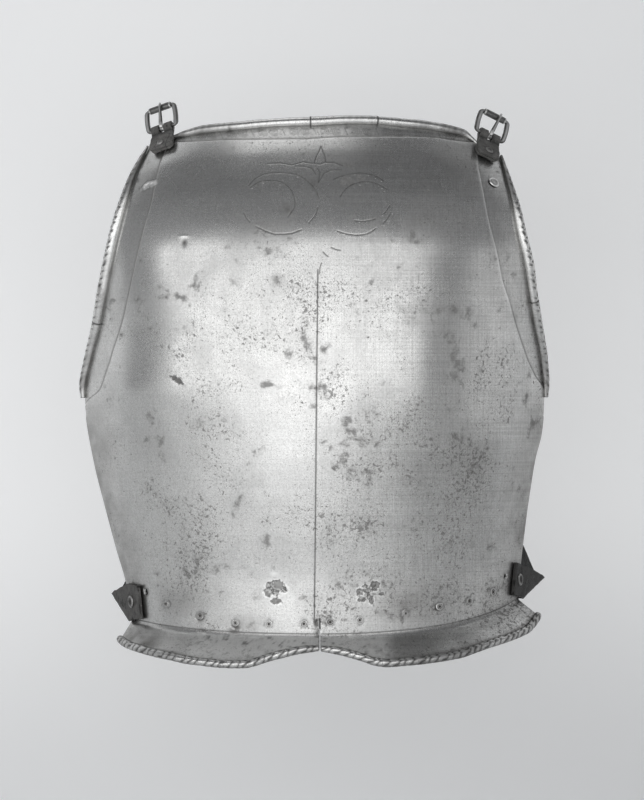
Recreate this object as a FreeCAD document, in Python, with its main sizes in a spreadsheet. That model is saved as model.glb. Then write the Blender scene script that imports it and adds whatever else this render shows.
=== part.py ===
"""Backplate of a field armour, in millimetres, +Z up, the outer face towards -Y.

One forged steel plate covers the wearer's back from the shoulders to the waist and flares out
below it. Its edges are turned over iron wires. Leather tabs hold a buckle at each shoulder, and
a folded leather strap goes round each side edge at the waist. The origin is the middle of the
wearer's waist, level with the incised waist line.
"""

import FreeCAD, Part
import math
import os

import Sketcher
from FreeCAD import Matrix, Placement, Rotation, Vector

doc = FreeCAD.newDocument("Backplate")

# Sizes in millimetres, which the sheet holds for the whole document
SIZES = {
    # the plate
    "plate_thickness": 1.5,
    "plate_height": 378.0,
    "left_half_width": 176.0,
    "right_half_width": 167.5,
    "waist_reach": 112.0,
    "blade_swell": 31.0,
    "back_depth": 130.0,
    "flange_drop": 25.4,
    "flange_flare": 22.9,
    "centre_slit": 0.6,
    "slit_height": 12.0,
    # the turned edges and the wires in them
    "neck_roll_radius": 3.6,
    "arm_roll_radius": 4.6,
    "waist_roll_radius": 3.1,
    "roll_lift": 1.2,
    "neck_wire_radius": 1.5,
    "arm_wire_radius": 1.6,
    "waist_wire_radius": 1.3,
    "wire_fit": 0.1,
    "wire_setback": 0.5,
    # fasteners in general
    "rivet_fit": 0.06,
    "rivet_seat": 0.12,
    "tail_height": 0.7,
    "cut_overrun": 2.0,
    # the lining band and its rivets
    "lining_rivet_height": 6.5,
    "lining_rivet_rise": 12.5,
    "lining_head_radius": 2.3,
    "lining_head_height": 1.1,
    "lining_shank_radius": 1.1,
    "lining_tail_radius": 1.8,
    "lining_rove_radius": 2.9,
    "lining_rove_thickness": 0.8,
    "band_width": 10.0,
    "band_thickness": 2.0,
    "band_gap": 0.4,
    # the plug in the right shoulder and the two empty side holes
    "plug_shank_radius": 3.2,
    "plug_head_radius": 4.4,
    "plug_head_height": 0.8,
    "plug_tail_radius": 4.0,
    "side_hole_radius": 2.2,
    # the shoulder tabs and their rivets
    "tab_width": 18.6,
    "tab_tail": 6.5,
    "tab_reach": 15.5,
    "tab_corner": 4.0,
    "tab_leather": 2.2,
    "tab_seat": 0.75,
    "tongue_slot_width": 4.4,
    "tongue_slot_room": 1.4,
    "tab_head_radius": 3.1,
    "tab_head_height": 1.3,
    "tab_shank_radius": 1.6,
    "tab_tail_radius": 2.6,
    "tab_rove_radius": 3.3,
    "tab_rove_thickness": 1.0,
    "tab_rove_gap": 0.72,
    # the buckles
    "buckle_width": 22.8,
    "buckle_length": 17.0,
    "buckle_corner": 2.2,
    "buckle_wire_radius": 1.3,
    "buckle_fit": 0.06,
    "roller_wall": 1.1,
    "roller_end_gap": 0.3,
    "tongue_eye_wall": 0.9,
    "tongue_eye_width": 2.8,
    "tongue_root_radius": 1.15,
    "tongue_tip_radius": 0.8,
    "tongue_overhang": 3.4,
    # the waist straps and their rivets
    "strap_width": 26.0,
    "strap_leather": 2.6,
    "strap_tail": 11.0,
    "strap_outer_gap": 0.9,
    "strap_inner_gap": 1.6,
    "strap_edge_gap": 2.6,
    "strap_tip_reach": 16.0,
    "strap_top_reach": 8.0,
    "strap_head_radius": 4.6,
    "strap_head_height": 1.2,
    "strap_shank_radius": 1.7,
    "strap_tail_radius": 2.7,
    "strap_rove_radius": 4.2,
    "strap_rove_thickness": 1.0,
}

sheet = doc.addObject("Spreadsheet::Sheet", "Sizes")
for row, (alias, value) in enumerate(SIZES.items(), start=1):
    sheet.set(f"A{row}", alias)
    sheet.set(f"B{row}", str(value))
    sheet.setAlias(f"B{row}", alias)
doc.recompute()


def size(alias):
    """A size as the sheet holds it."""
    return float(sheet.get(alias))


# Shape of the plate

# Share of the way up from the waist line to the neck, then the share of the size it scales
SPINE_SHARES = ((0, 0), (0.1, 0.13), (0.2, 0.39), (0.35, 0.77), (0.5, 0.97), (0.62, 1.0),
                (0.75, 0.84), (0.85, 0.5), (0.93, 0.02), (1, -0.6))
DEPTH_SHARES = ((0, 0.9), (0.25, 1.1), (0.475, 1.25), (0.7, 1.12), (0.85, 1.0), (1, 0.85))
RIGHT_ANGLE_SHARES = ((0, 0.75), (0.25, 0.76), (0.475, 0.76), (0.7, 0.66), (0.85, 0.57),
                      (1, 0.5))
EDGE_WIDTH_SHARES = {
    -1: ((0.025, 0.793), (0.09, 0.818), (0.161, 0.862), (0.249, 0.9125), (0.335, 0.958),
         (0.426, 0.992), (0.474, 1.0), (0.54, 0.973), (0.6, 0.939), (0.66, 0.9136),
         (0.72, 0.888), (0.78, 0.859), (0.836, 0.825), (0.894, 0.783), (0.95, 0.722)),
    1: ((0.065, 0.88), (0.12, 0.89), (0.209, 0.913), (0.275, 0.934), (0.34, 0.959),
        (0.39, 0.987), (0.44, 0.998), (0.474, 1.0), (0.54, 0.987), (0.6, 0.961),
        (0.66, 0.937), (0.72, 0.917), (0.78, 0.885), (0.836, 0.859), (0.894, 0.823),
        (0.945, 0.79)),
}
END_RISE_SHARES = {
    -1: ((0, 0.025), (0.25, 0.005), (0.475, 0), (0.75, -0.02), (1, -0.05)),
    1: ((0, 0.065), (0.25, 0.025), (0.475, 0), (0.75, -0.03), (1, -0.068)),
}
RISE_POWER = 2.1

# Share of the way from the spine to the side edge, then the share of the flange's drop
FLANGE_DROP_SHARES = {
    -1: ((0, 0.37), (0.0625, 0.41), (0.181, 0.61), (0.287, 0.87), (0.379, 0.93),
         (0.565, 0.965), (0.776, 0.82), (1, 0.43)),
    1: ((0, 0.38), (0.055, 0.43), (0.149, 0.65), (0.221, 0.92), (0.278, 0.95), (0.405, 1.0),
        (0.545, 0.95), (0.703, 0.88), (0.878, 0.81), (1, 0.49)),
}
# Share of the way down the flange, then the share of its outward flare
FLARE_SHARES = ((0, 0), (0.1, 0.03), (0.25, 0.17), (0.5, 0.45), (1, 1))

ACROSS_STEPS = 36
BODY_STEPS = 30
FLANGE_LEVEL_SHARES = (-1, -0.8, -0.6, -0.43, -0.28, -0.16, -0.07)
CREASE_LEVEL_SHARES = (0, 0.008, 0.018)
NUDGE_SHARE = 0.001


def between(table, place):
    """Read a table of pairs at any place, on a smooth curve that never overshoots them."""
    places = [pair[0] for pair in table]
    values = [pair[1] for pair in table]
    if place <= places[0]:
        return values[0]
    if place >= places[-1]:
        return values[-1]
    steps = [b - a for a, b in zip(places, places[1:])]
    rises = [(b - a) / step for a, b, step in zip(values, values[1:], steps)]
    slopes = [rises[0]]
    for k in range(1, len(rises)):
        before, after = rises[k - 1], rises[k]
        if before * after <= 0:
            slopes.append(0)
            continue
        heavy_before = 2 * steps[k] + steps[k - 1]
        heavy_after = steps[k] + 2 * steps[k - 1]
        slopes.append((heavy_before + heavy_after) / (heavy_before / before + heavy_after / after))
    slopes.append(rises[-1])
    k = max(i for i in range(len(steps)) if places[i] <= place)
    step = steps[k]
    part = (place - places[k]) / step
    rest = 1 - part
    return (values[k] * (1 + 2 * part) * rest ** 2 + slopes[k] * step * part * rest ** 2
            + values[k + 1] * (1 + 2 * rest) * part ** 2 - slopes[k + 1] * step * rest * part ** 2)


def plate_point(across, level):
    """A point on the plate's outer face.

    across runs from -1 at the left side edge over 0 at the spine to 1 at the right side edge.
    level runs from 0 at the waist line to 1 at the neck, and down to -1 at the flange's edge.
    """
    hand = -1 if across < 0 else 1
    reach = abs(across)
    up = max(level, 0)
    height = size("plate_height")
    half_width = size("left_half_width") if hand < 0 else size("right_half_width")
    rise_share = between(END_RISE_SHARES[hand], up)
    edge = half_width * between(EDGE_WIDTH_SHARES[hand], up + rise_share)
    edge_turn = math.radians(90 * between(RIGHT_ANGLE_SHARES, up))
    radius = edge / math.sin(edge_turn)
    depth = size("back_depth") * between(DEPTH_SHARES, up)
    turn = across * edge_turn
    spine = size("waist_reach") + size("blade_swell") * between(SPINE_SHARES, up)
    point = Vector(radius * math.sin(turn), depth * (1 - math.cos(turn)) - spine,
                   height * (up + rise_share * reach ** RISE_POWER))
    if level < 0:
        drop_share = between(FLANGE_DROP_SHARES[hand], reach)
        out = Vector(depth * math.sin(turn), -radius * math.cos(turn), 0).normalize()
        point += out * size("flange_flare") * drop_share * between(FLARE_SHARES, -level)
        point.z += size("flange_drop") * drop_share * level
    return point


def plate_normal(across, level):
    """The direction that the plate's outer face looks in."""
    left = max(across - NUDGE_SHARE, -1)
    right = min(across + NUDGE_SHARE, 1)
    low = max(level - NUDGE_SHARE, -1)
    high = min(level + NUDGE_SHARE, 1)
    sideways = plate_point(right, level) - plate_point(left, level)
    upward = plate_point(across, high) - plate_point(across, low)
    return sideways.cross(upward).normalize()


def inside_plate(across, level, depth):
    """The point that lies so deep under the plate's outer face."""
    return plate_point(across, level) - plate_normal(across, level) * depth


def seat(across, level, lean=0):
    """A place on the outer face: X runs to the right along it, Y up along it and Z out of it.

    lean is how many degrees Y leans to the right, seen from behind the wearer.
    """
    outward = plate_normal(across, level)
    aside = math.sin(math.radians(lean))
    upright = math.cos(math.radians(lean))
    away = -(aside * outward.x + upright * outward.z) / outward.y
    up = Vector(aside, away, upright).normalize()
    right = up.cross(outward)
    at = plate_point(across, level)
    return Placement(Matrix(right.x, up.x, outward.x, at.x,
                            right.y, up.y, outward.y, at.y,
                            right.z, up.z, outward.z, at.z,
                            0, 0, 0, 1))


def skin(points):
    """A smooth surface through rows of points."""
    surface = Part.BSplineSurface()
    surface.interpolate(points)
    return surface


def bent_sheet(acrosses, levels, outer_depth, inner_depth):
    """A solid that follows the plate between two depths under its outer face."""
    outer = skin([[inside_plate(a, l, outer_depth) for l in levels(a)] for a in acrosses])
    inner = skin([[inside_plate(a, l, inner_depth) for l in levels(a)] for a in acrosses])
    faces = [outer.toShape(), inner.toShape()]
    for one, other in zip(borders(outer), borders(inner)):
        faces.append(Part.makeRuledSurface(one, other))
    shell = Part.makeShell(faces)
    shell.sewShape()
    solid = Part.makeSolid(shell)
    if solid.Volume < 0:
        solid.reverse()
    return solid


def borders(surface):
    """The four border edges of a surface."""
    u_low, u_high, v_low, v_high = surface.bounds()
    return [surface.uIso(u_low).toShape(), surface.uIso(u_high).toShape(),
            surface.vIso(v_low).toShape(), surface.vIso(v_high).toShape()]


def tube(centres, radii, outwards):
    """A tube of straight runs through circles round the given centres."""
    rings = []
    last = len(centres) - 1
    for k, centre in enumerate(centres):
        along = centres[min(k + 1, last)] - centres[max(k - 1, 0)]
        ring = Part.Circle(centre, along, radii[k])
        side = outwards[k] - along * (outwards[k].dot(along) / along.dot(along))
        ring.XAxis = side.normalize()
        rings.append(Part.Wire(ring.toShape()))
    return Part.makeLoft(rings, True, True)


# Places along each turned edge, as (across, level), and the share of the roll's radius there
NECK_EDGE_SHARES = [(-0.77 + 0.097 * k, 1) for k in range(17)]
LEFT_ARM_SHARES = [(-1, 0.462 + 0.0345 * k) for k in range(16)]
RIGHT_ARM_SHARES = [(1, 0.462 + 0.0345 * k) for k in range(16)]
LEFT_WAIST_SHARES = [(-1 + 0.0588 * k, -1) for k in range(17)]
RIGHT_WAIST_SHARES = [(1 - 0.0588 * k, -1) for k in range(17)]
EVEN_SWELL_SHARES = ((0, 1), (1, 1))
ARM_SWELL_SHARES = ((0, 0.72), (0.15, 0.8), (0.5, 0.97), (0.72, 1), (0.9, 0.85), (1, 0.78))

TURNED_EDGES = {
    "neck_edge_wire": (NECK_EDGE_SHARES, "neck_roll_radius", "neck_wire_radius",
                       EVEN_SWELL_SHARES),
    "left_arm_edge_wire": (LEFT_ARM_SHARES, "arm_roll_radius", "arm_wire_radius",
                           ARM_SWELL_SHARES),
    "right_arm_edge_wire": (RIGHT_ARM_SHARES, "arm_roll_radius", "arm_wire_radius",
                            ARM_SWELL_SHARES),
    "waist_edge_wire_left": (LEFT_WAIST_SHARES, "waist_roll_radius", "waist_wire_radius",
                             EVEN_SWELL_SHARES),
    "waist_edge_wire_right": (RIGHT_WAIST_SHARES, "waist_roll_radius", "waist_wire_radius",
                              EVEN_SWELL_SHARES),
}


def edge_tube(places, radii, setback=0):
    """A tube along one turned edge, shortened at both ends by the setback."""
    depth = size("plate_thickness") / 2 - size("roll_lift")
    centres = [inside_plate(across, level, depth) for across, level in places]
    outwards = [plate_normal(across, level) for across, level in places]
    if setback:
        for end, next_one in ((0, 1), (-1, -2)):
            inward = (centres[next_one] - centres[end]).normalize()
            centres[end] = centres[end] + inward * setback
    return tube(centres, radii, outwards)


def drill(place, radius, length):
    """A round cutter centred on a place, along its Z."""
    cutter = Part.makeCylinder(radius, length, Vector(0, 0, -length / 2))
    cutter.Placement = place
    return cutter


# Everything that is handed over, by the name of its node
parts = {}


def keep(name, shape):
    """Put a finished shape in the document as a piece of its own."""
    piece = doc.addObject("Part::Feature", name)
    piece.Label = name
    piece.Shape = shape
    parts[name] = piece
    return piece


def primitive(kind, name, bound):
    """A Part primitive whose properties follow expressions on the sheet."""
    thing = doc.addObject(kind, name)
    for prop, expression in bound.items():
        thing.setExpression(prop, expression)
    return thing


def fused(name, pieces):
    """Join primitives into one solid."""
    joined = doc.addObject("Part::MultiFuse", name)
    joined.Shapes = pieces
    return joined


def cut_from(name, base, tool):
    """Take one solid away from another."""
    left = doc.addObject("Part::Cut", name)
    left.Base = base
    left.Tool = tool
    return left


def plane_of(body, role):
    """One of the origin planes of a body."""
    return next(f for f in body.Origin.OriginFeatures if f.Role == role)


def outline(body, name, role, corners):
    """A closed sketch of straight lines, each corner's place bound to the sheet."""
    sketch = body.newObject("Sketcher::SketchObject", name)
    sketch.AttachmentSupport = [(plane_of(body, role), "")]
    sketch.MapMode = "FlatFace"
    count = len(corners)
    rough = [Vector(math.cos(2 * math.pi * k / count), math.sin(2 * math.pi * k / count), 0)
             for k in range(count)]
    for k in range(count):
        sketch.addGeometry(Part.LineSegment(rough[k], rough[(k + 1) % count]), False)
    for k in range(count):
        sketch.addConstraint(Sketcher.Constraint("Coincident", k, 2, (k + 1) % count, 1))
    for k, (first, second) in enumerate(corners):
        for axis, expression, start in (("X", first, rough[k].x), ("Y", second, rough[k].y)):
            index = sketch.addConstraint(
                Sketcher.Constraint("Distance" + axis, -1, 1, k, 1, start))
            sketch.setExpression(f"Constraints[{index}]", expression)
    return sketch


def disc(body, name, role, middle, radius):
    """A sketch of one circle, its centre and radius bound to the sheet."""
    sketch = body.newObject("Sketcher::SketchObject", name)
    sketch.AttachmentSupport = [(plane_of(body, role), "")]
    sketch.MapMode = "FlatFace"
    circle = sketch.addGeometry(Part.Circle(Vector(1, 1, 0), Vector(0, 0, 1), 1), False)
    for kind, expression in (("DistanceX", middle[0]), ("DistanceY", middle[1])):
        index = sketch.addConstraint(Sketcher.Constraint(kind, -1, 1, circle, 3, 1.0))
        sketch.setExpression(f"Constraints[{index}]", expression)
    index = sketch.addConstraint(Sketcher.Constraint("Radius", circle, 1.0))
    sketch.setExpression(f"Constraints[{index}]", radius)
    return sketch


def pad(body, name, sketch, length, symmetric=False):
    """Make a sketch solid."""
    feature = body.newObject("PartDesign::Pad", name)
    feature.Profile = sketch
    feature.SideType = "Symmetric" if symmetric else "One side"
    feature.setExpression("Length", length)
    return feature


def pocket(body, name, sketch, length):
    """Cut a sketch out of the body, half the length to each side of its plane."""
    feature = body.newObject("PartDesign::Pocket", name)
    feature.Profile = sketch
    feature.SideType = "Symmetric"
    feature.setExpression("Length", length)
    return feature


# Rivets and roves

def rivet(name, kind, under_head, grip):
    """A domed rivet: Z points out of its head, and the origin is on the plate's outer face.

    under_head is what lies between the plate and the head, grip what the rivet holds in all.
    """
    head = primitive("Part::Ellipsoid", name + "_head", {
        "Radius1": f"Sizes.{kind}_head_height",
        "Radius2": f"Sizes.{kind}_head_radius",
        "Angle1": "0",
        "Angle2": "90",
        "Placement.Base.z": f"{under_head} + Sizes.rivet_seat",
    })
    shank = primitive("Part::Cylinder", name + "_shank", {
        "Radius": f"Sizes.{kind}_shank_radius",
        "Height": f"{grip} + 2 * Sizes.rivet_seat",
        "Placement.Base.z": f"{under_head} - ({grip}) - Sizes.rivet_seat",
    })
    tail = primitive("Part::Cylinder", name + "_tail", {
        "Radius": f"Sizes.{kind}_tail_radius",
        "Height": "Sizes.tail_height",
        "Placement.Base.z": f"{under_head} - ({grip}) - Sizes.rivet_seat - Sizes.tail_height",
    })
    return fused(name, [head, shank, tail])


def rove(name, kind, under_plate):
    """A washer inside the plate, so deep under its outer face."""
    washer = primitive("Part::Cylinder", name + "_washer", {
        "Radius": f"Sizes.{kind}_rove_radius",
        "Height": f"Sizes.{kind}_rove_thickness",
        "Placement.Base.z": f"-({under_plate}) - Sizes.{kind}_rove_thickness",
    })
    hole = primitive("Part::Cylinder", name + "_hole", {
        "Radius": f"Sizes.{kind}_shank_radius + Sizes.rivet_fit",
        "Height": f"Sizes.{kind}_rove_thickness + 2 * Sizes.cut_overrun",
        "Placement.Base.z": f"-({under_plate}) - Sizes.{kind}_rove_thickness"
                            " - Sizes.cut_overrun",
    })
    return cut_from(name, washer, hole)


def place_piece(piece, name, place):
    """Give a finished document object its node's name and its place."""
    piece.Label = name
    piece.Placement = place
    parts[name] = piece


# The lining band, its rivets and their roves

LINING_RIVET_SHARES = (-0.70, -0.52, -0.355, -0.21, -0.065, 0.04, 0.155, 0.34, 0.49, 0.64, 0.78)
LINING_RISE_SHARES = ((-0.76, 1.0), (-0.70, 0.89), (-0.52, 0.365), (-0.355, 0.081),
                      (-0.21, 0.084), (-0.065, 0.138), (0.04, 0.241), (0.155, 0.311),
                      (0.34, 0.546), (0.49, 0.7), (0.64, 0.68), (0.78, 0.83), (0.84, 0.84))
BAND_END_SHARES = (-0.76, 0.84)
BAND_STEPS = 24


def lining_level(across, above=0):
    """The level of the lining rivets' row, or so far above it: it rises to both sides."""
    rise = size("lining_rivet_rise") * between(LINING_RISE_SHARES, across)
    height = size("lining_rivet_height") + rise
    return (height + above) / size("plate_height")


def band_levels(across):
    """The levels of points up the lining band."""
    half = size("band_width") / 2
    return [lining_level(across, half * share) for share in (-1, -0.33, 0.33, 1)]


lining_seats = [seat(across, lining_level(across)) for across in LINING_RIVET_SHARES]
band_top = size("plate_thickness") + size("band_gap")
band_bottom = band_top + size("band_thickness")
band_start, band_end = BAND_END_SHARES
band = bent_sheet([band_start + (band_end - band_start) * k / BAND_STEPS
                   for k in range(BAND_STEPS + 1)], band_levels, band_top, band_bottom)
hole_radius = size("lining_shank_radius") + size("rivet_fit")
lining_drills = [drill(place, hole_radius, 2 * (band_bottom + size("cut_overrun")))
                 for place in lining_seats]
keep("lining_band", band.cut(lining_drills))

lining_grip = ("Sizes.plate_thickness + Sizes.band_gap + Sizes.band_thickness"
               " + Sizes.lining_rove_thickness + Sizes.rivet_seat")
one_rivet = rivet("one_lining_rivet", "lining", "0", lining_grip)
one_rove = rove("one_lining_rove", "lining",
                "Sizes.plate_thickness + Sizes.band_gap + Sizes.band_thickness"
                " + Sizes.rivet_seat")
doc.recompute()
for group, pattern in (("lining_rivets", one_rivet), ("lining_roves", one_rove)):
    copies = []
    for place in lining_seats:
        copy = pattern.Shape.copy()
        copy.Placement = place
        copies.append(copy)
    keep(group, Part.makeCompound(copies))

# The shoulder plug

PLUG_SHARES = (0.887, 0.9216)
plug_seat = seat(*PLUG_SHARES)
plug = rivet("shoulder_plug", "plug", "0", "Sizes.plate_thickness + Sizes.rivet_seat")
place_piece(plug, "shoulder_plug_rivet", plug_seat)

# The shoulder tabs with their buckles

TAB_SHARES = {"left": (-0.862, 0.983), "right": (0.88, 0.984)}
TAB_LEANS = {"left": 6, "right": 4}
BUCKLE_RISE = 22
TAB_EYE = "(Sizes.buckle_wire_radius + Sizes.buckle_fit + Sizes.tab_leather)"
TAB_TOP = "Sizes.tab_seat + 2 * Sizes.tab_leather"
BAR_HEIGHT = f"(Sizes.tab_seat + {TAB_EYE})"


def shoulder_tab(name):
    """Leather folded round the buckle's bar, its two layers joined flat under the rivet."""
    body = doc.addObject("PartDesign::Body", name)
    half = "Sizes.tab_width / 2"
    outline_sketch = outline(body, name + "_outline", "XY_Plane", [
        (f"-({half})", "Sizes.tab_reach"),
        (f"-({half})", "-Sizes.tab_tail + Sizes.tab_corner"),
        (f"-({half}) + Sizes.tab_corner", "-Sizes.tab_tail"),
        (f"{half} - Sizes.tab_corner", "-Sizes.tab_tail"),
        (half, "-Sizes.tab_tail + Sizes.tab_corner"),
        (half, "Sizes.tab_reach"),
    ])
    outline_sketch.setExpression("AttachmentOffset.Base.z", "Sizes.tab_seat")
    pad(body, name + "_layers", outline_sketch, "2 * Sizes.tab_leather")
    fold = disc(body, name + "_fold", "YZ_Plane", ("Sizes.tab_reach", BAR_HEIGHT), TAB_EYE)
    pad(body, name + "_eye", fold, "Sizes.tab_width", symmetric=True)
    bore = disc(body, name + "_bore", "YZ_Plane", ("Sizes.tab_reach", BAR_HEIGHT),
                "Sizes.buckle_wire_radius + Sizes.buckle_fit")
    pocket(body, name + "_bar_hole", bore, "Sizes.tab_width + 2 * Sizes.cut_overrun")
    slot_half = "Sizes.tongue_slot_width / 2"
    slot = outline(body, name + "_slot", "XY_Plane", [
        (f"-({slot_half})", f"Sizes.tab_reach + {TAB_EYE} + Sizes.cut_overrun"),
        (f"-({slot_half})", f"Sizes.tab_reach - {TAB_EYE} - Sizes.tongue_slot_room"),
        (slot_half, f"Sizes.tab_reach - {TAB_EYE} - Sizes.tongue_slot_room"),
        (slot_half, f"Sizes.tab_reach + {TAB_EYE} + Sizes.cut_overrun"),
    ])
    pocket(body, name + "_tongue_slot", slot, f"4 * ({TAB_TOP}) + 4 * Sizes.cut_overrun")
    rivet_hole = disc(body, name + "_rivet_hole", "XY_Plane", ("0", "0"),
                      "Sizes.tab_shank_radius + Sizes.rivet_fit")
    pocket(body, name + "_rivet_bore", rivet_hole, f"4 * ({TAB_TOP}) + 4 * Sizes.cut_overrun")
    doc.recompute()
    return body


def buckle_frame(name):
    """A frame of round wire with bent corners, the bar at y = 0 and Z out of the shoulder."""
    half = "(Sizes.buckle_width / 2)"
    straight = "Sizes.buckle_width - 2 * Sizes.buckle_corner"
    pieces = []
    for end, y in (("bar", "0"), ("front", "Sizes.buckle_length")):
        run = primitive("Part::Cylinder", f"{name}_{end}", {
            "Radius": "Sizes.buckle_wire_radius",
            "Height": straight,
            "Placement.Base.x": f"Sizes.buckle_corner - {half}",
            "Placement.Base.y": y,
            "Placement.Rotation.Angle": "90",
            "Placement.Rotation.Axis.x": "0",
            "Placement.Rotation.Axis.y": "1",
            "Placement.Rotation.Axis.z": "0",
        })
        pieces.append(run)
    for side, sign in (("left", "-"), ("right", "")):
        limb = primitive("Part::Cylinder", f"{name}_{side}_limb", {
            "Radius": "Sizes.buckle_wire_radius",
            "Height": "Sizes.buckle_length - 2 * Sizes.buckle_corner",
            "Placement.Base.x": f"{sign}{half}",
            "Placement.Base.y": "Sizes.buckle_corner",
            "Placement.Rotation.Angle": "-90",
            "Placement.Rotation.Axis.x": "1",
            "Placement.Rotation.Axis.y": "0",
            "Placement.Rotation.Axis.z": "0",
        })
        pieces.append(limb)
    for side, x, bar_turn, front_turn in (("left", f"Sizes.buckle_corner - {half}", 180, 90),
                                          ("right", f"{half} - Sizes.buckle_corner", 270, 0)):
        for end, y, turn in (("bar", "Sizes.buckle_corner", bar_turn),
                             ("front", "Sizes.buckle_length - Sizes.buckle_corner", front_turn)):
            bend = primitive("Part::Torus", f"{name}_{side}_{end}_bend", {
                "Radius1": "Sizes.buckle_corner",
                "Radius2": "Sizes.buckle_wire_radius",
                "Angle3": "90",
                "Placement.Base.x": x,
                "Placement.Base.y": y,
                "Placement.Rotation.Angle": str(turn),
            })
            pieces.append(bend)
    return fused(name, pieces)


def buckle_roller(name):
    """A sheet steel sleeve that turns on the front bar."""
    length = "(Sizes.buckle_width - 2 * Sizes.buckle_corner - 2 * Sizes.roller_end_gap)"
    bored = "Sizes.buckle_wire_radius + Sizes.buckle_fit"
    sleeve = {}
    for layer, radius, overrun in (("outside", f"{bored} + Sizes.roller_wall", "0"),
                                   ("inside", bored, "Sizes.cut_overrun")):
        sleeve[layer] = primitive("Part::Cylinder", f"{name}_{layer}", {
            "Radius": radius,
            "Height": f"{length} + 2 * {overrun}",
            "Placement.Base.x": f"-{length} / 2 - {overrun}",
            "Placement.Base.y": "Sizes.buckle_length",
            "Placement.Rotation.Angle": "90",
            "Placement.Rotation.Axis.x": "0",
            "Placement.Rotation.Axis.y": "1",
            "Placement.Rotation.Axis.z": "0",
        })
    return cut_from(name, sleeve["outside"], sleeve["inside"])


def buckle_tongue(name):
    """A tapered pin with an eye round the bar, its tip lying on the roller."""
    bored = size("buckle_wire_radius") + size("buckle_fit")
    width = size("tongue_eye_width")
    eye_radius = bored + size("tongue_eye_wall")
    eye = Part.makeCylinder(eye_radius, width, Vector(-width / 2, 0, 0), Vector(1, 0, 0))
    hole = Part.makeCylinder(bored, 2 * width, Vector(-width, 0, 0), Vector(1, 0, 0))
    roller_top = bored + size("roller_wall")
    root = Vector(0, 0, bored + size("tongue_root_radius"))
    rest = Vector(0, size("buckle_length"), roller_top + size("tongue_root_radius"))
    along = (rest - root).normalize()
    length = (rest - root).Length + size("tongue_overhang")
    arm = Part.makeCone(size("tongue_root_radius"), size("tongue_tip_radius"), length, root, along)
    tip = Part.makeSphere(size("tongue_tip_radius"), root + along * length)
    return keep(name, arm.fuse([eye, tip]).cut(hole).removeSplitter())


tab_seats = {}
for side in ("left", "right"):
    place = seat(*TAB_SHARES[side], TAB_LEANS[side])
    tab_seats[side] = place
    bar_height = (size("tab_seat") + size("buckle_wire_radius") + size("buckle_fit")
                  + size("tab_leather"))
    bar_place = place.multiply(Placement(Vector(0, size("tab_reach"), bar_height),
                                         Rotation(Vector(1, 0, 0), BUCKLE_RISE)))
    place_piece(shoulder_tab(f"{side}_tab"), f"{side}_shoulder_tab", place)
    tab_grip = ("Sizes.tab_seat + 2 * Sizes.tab_leather + Sizes.plate_thickness"
                " + Sizes.tab_rove_gap + Sizes.tab_rove_thickness")
    place_piece(rivet(f"{side}_tab_pin", "tab", TAB_TOP, tab_grip), f"{side}_tab_rivet", place)
    place_piece(rove(f"{side}_tab_washer", "tab", "Sizes.plate_thickness + Sizes.tab_rove_gap"),
                f"{side}_tab_rove", place)
    place_piece(buckle_frame(f"{side}_frame"), f"{side}_buckle_frame", bar_place)
    place_piece(buckle_roller(f"{side}_roller"), f"{side}_buckle_roller", bar_place)
    tongue = buckle_tongue(f"{side}_buckle_tongue")
    tongue.Placement = bar_place
    front_place = bar_place.multiply(Placement(Vector(0, size("buckle_length"), 0), Rotation()))
    print(f"{side} tab", place.Base, place.Rotation.multVec(Vector(0, 0, 1)))
    print(f"{side} bar", bar_place.Base, bar_place.Rotation.multVec(Vector(1, 0, 0)))
    print(f"{side} roller", front_place.Base)

# The waist straps

HANDS = {"left": -1, "right": 1}
STRAP_SHARES = {"left": (-0.9367, 0.0408), "right": (0.9602, 0.0497)}
STRAP_TIP_SHARES = {"left": 0.42, "right": 0.05}
strap_seats = {}


def waist_strap(name, hand, place, edge_distance, tip_height):
    """Leather folded round the plate's side edge, the fold slanting out to a blunt tip."""
    outer_low = size("strap_outer_gap")
    outer_high = outer_low + size("strap_leather")
    inner_high = -size("plate_thickness") - size("strap_inner_gap")
    inner_low = inner_high - size("strap_leather")
    tail = -size("strap_tail")
    half = size("strap_width") / 2
    rings = []
    for y, reach in ((-half, 0), (tip_height, size("strap_tip_reach")),
                     (half, size("strap_top_reach"))):
        clear = edge_distance + size("strap_edge_gap") + reach
        fold = clear + size("strap_leather")
        corners = [(tail, outer_high), (clear, outer_high), (fold, outer_low),
                   (fold, inner_high), (clear, inner_low), (tail, inner_low),
                   (tail, inner_high), (clear, inner_high), (clear, outer_low),
                   (tail, outer_low)]
        points = [Vector(hand * x, y, z) for x, z in corners]
        rings.append(Part.makePolygon(points + points[:1]))
    strap = Part.makeLoft(rings, True, True)
    bore = drill(Placement(), size("strap_shank_radius") + size("rivet_fit"),
                 4 * (outer_high + size("cut_overrun")))
    piece = keep(name, strap.cut(bore))
    piece.Placement = place


for side, hand in HANDS.items():
    across_share, level_share = STRAP_SHARES[side]
    place = seat(across_share, level_share)
    strap_seats[side] = place
    edge_distance = (plate_point(hand, level_share) - place.Base).Length
    tip_height = STRAP_TIP_SHARES[side] * size("strap_width") / 2
    waist_strap(f"{side}_waist_strap", hand, place, edge_distance, tip_height)
    strap_top = "Sizes.strap_outer_gap + Sizes.strap_leather"
    strap_grip = ("Sizes.strap_outer_gap + 2 * Sizes.strap_leather + Sizes.plate_thickness"
                  " + Sizes.strap_inner_gap + Sizes.strap_rove_thickness + Sizes.rivet_seat")
    place_piece(rivet(f"{side}_strap_pin", "strap", strap_top, strap_grip),
                f"{side}_waist_strap_rivet", place)
    place_piece(rove(f"{side}_strap_washer", "strap",
                     "Sizes.plate_thickness + Sizes.strap_inner_gap + Sizes.strap_leather"
                     " + Sizes.rivet_seat"), f"{side}_waist_strap_rove", place)
    print(f"{side} strap", place.Base, place.Rotation.multVec(Vector(0, 0, 1)))

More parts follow.
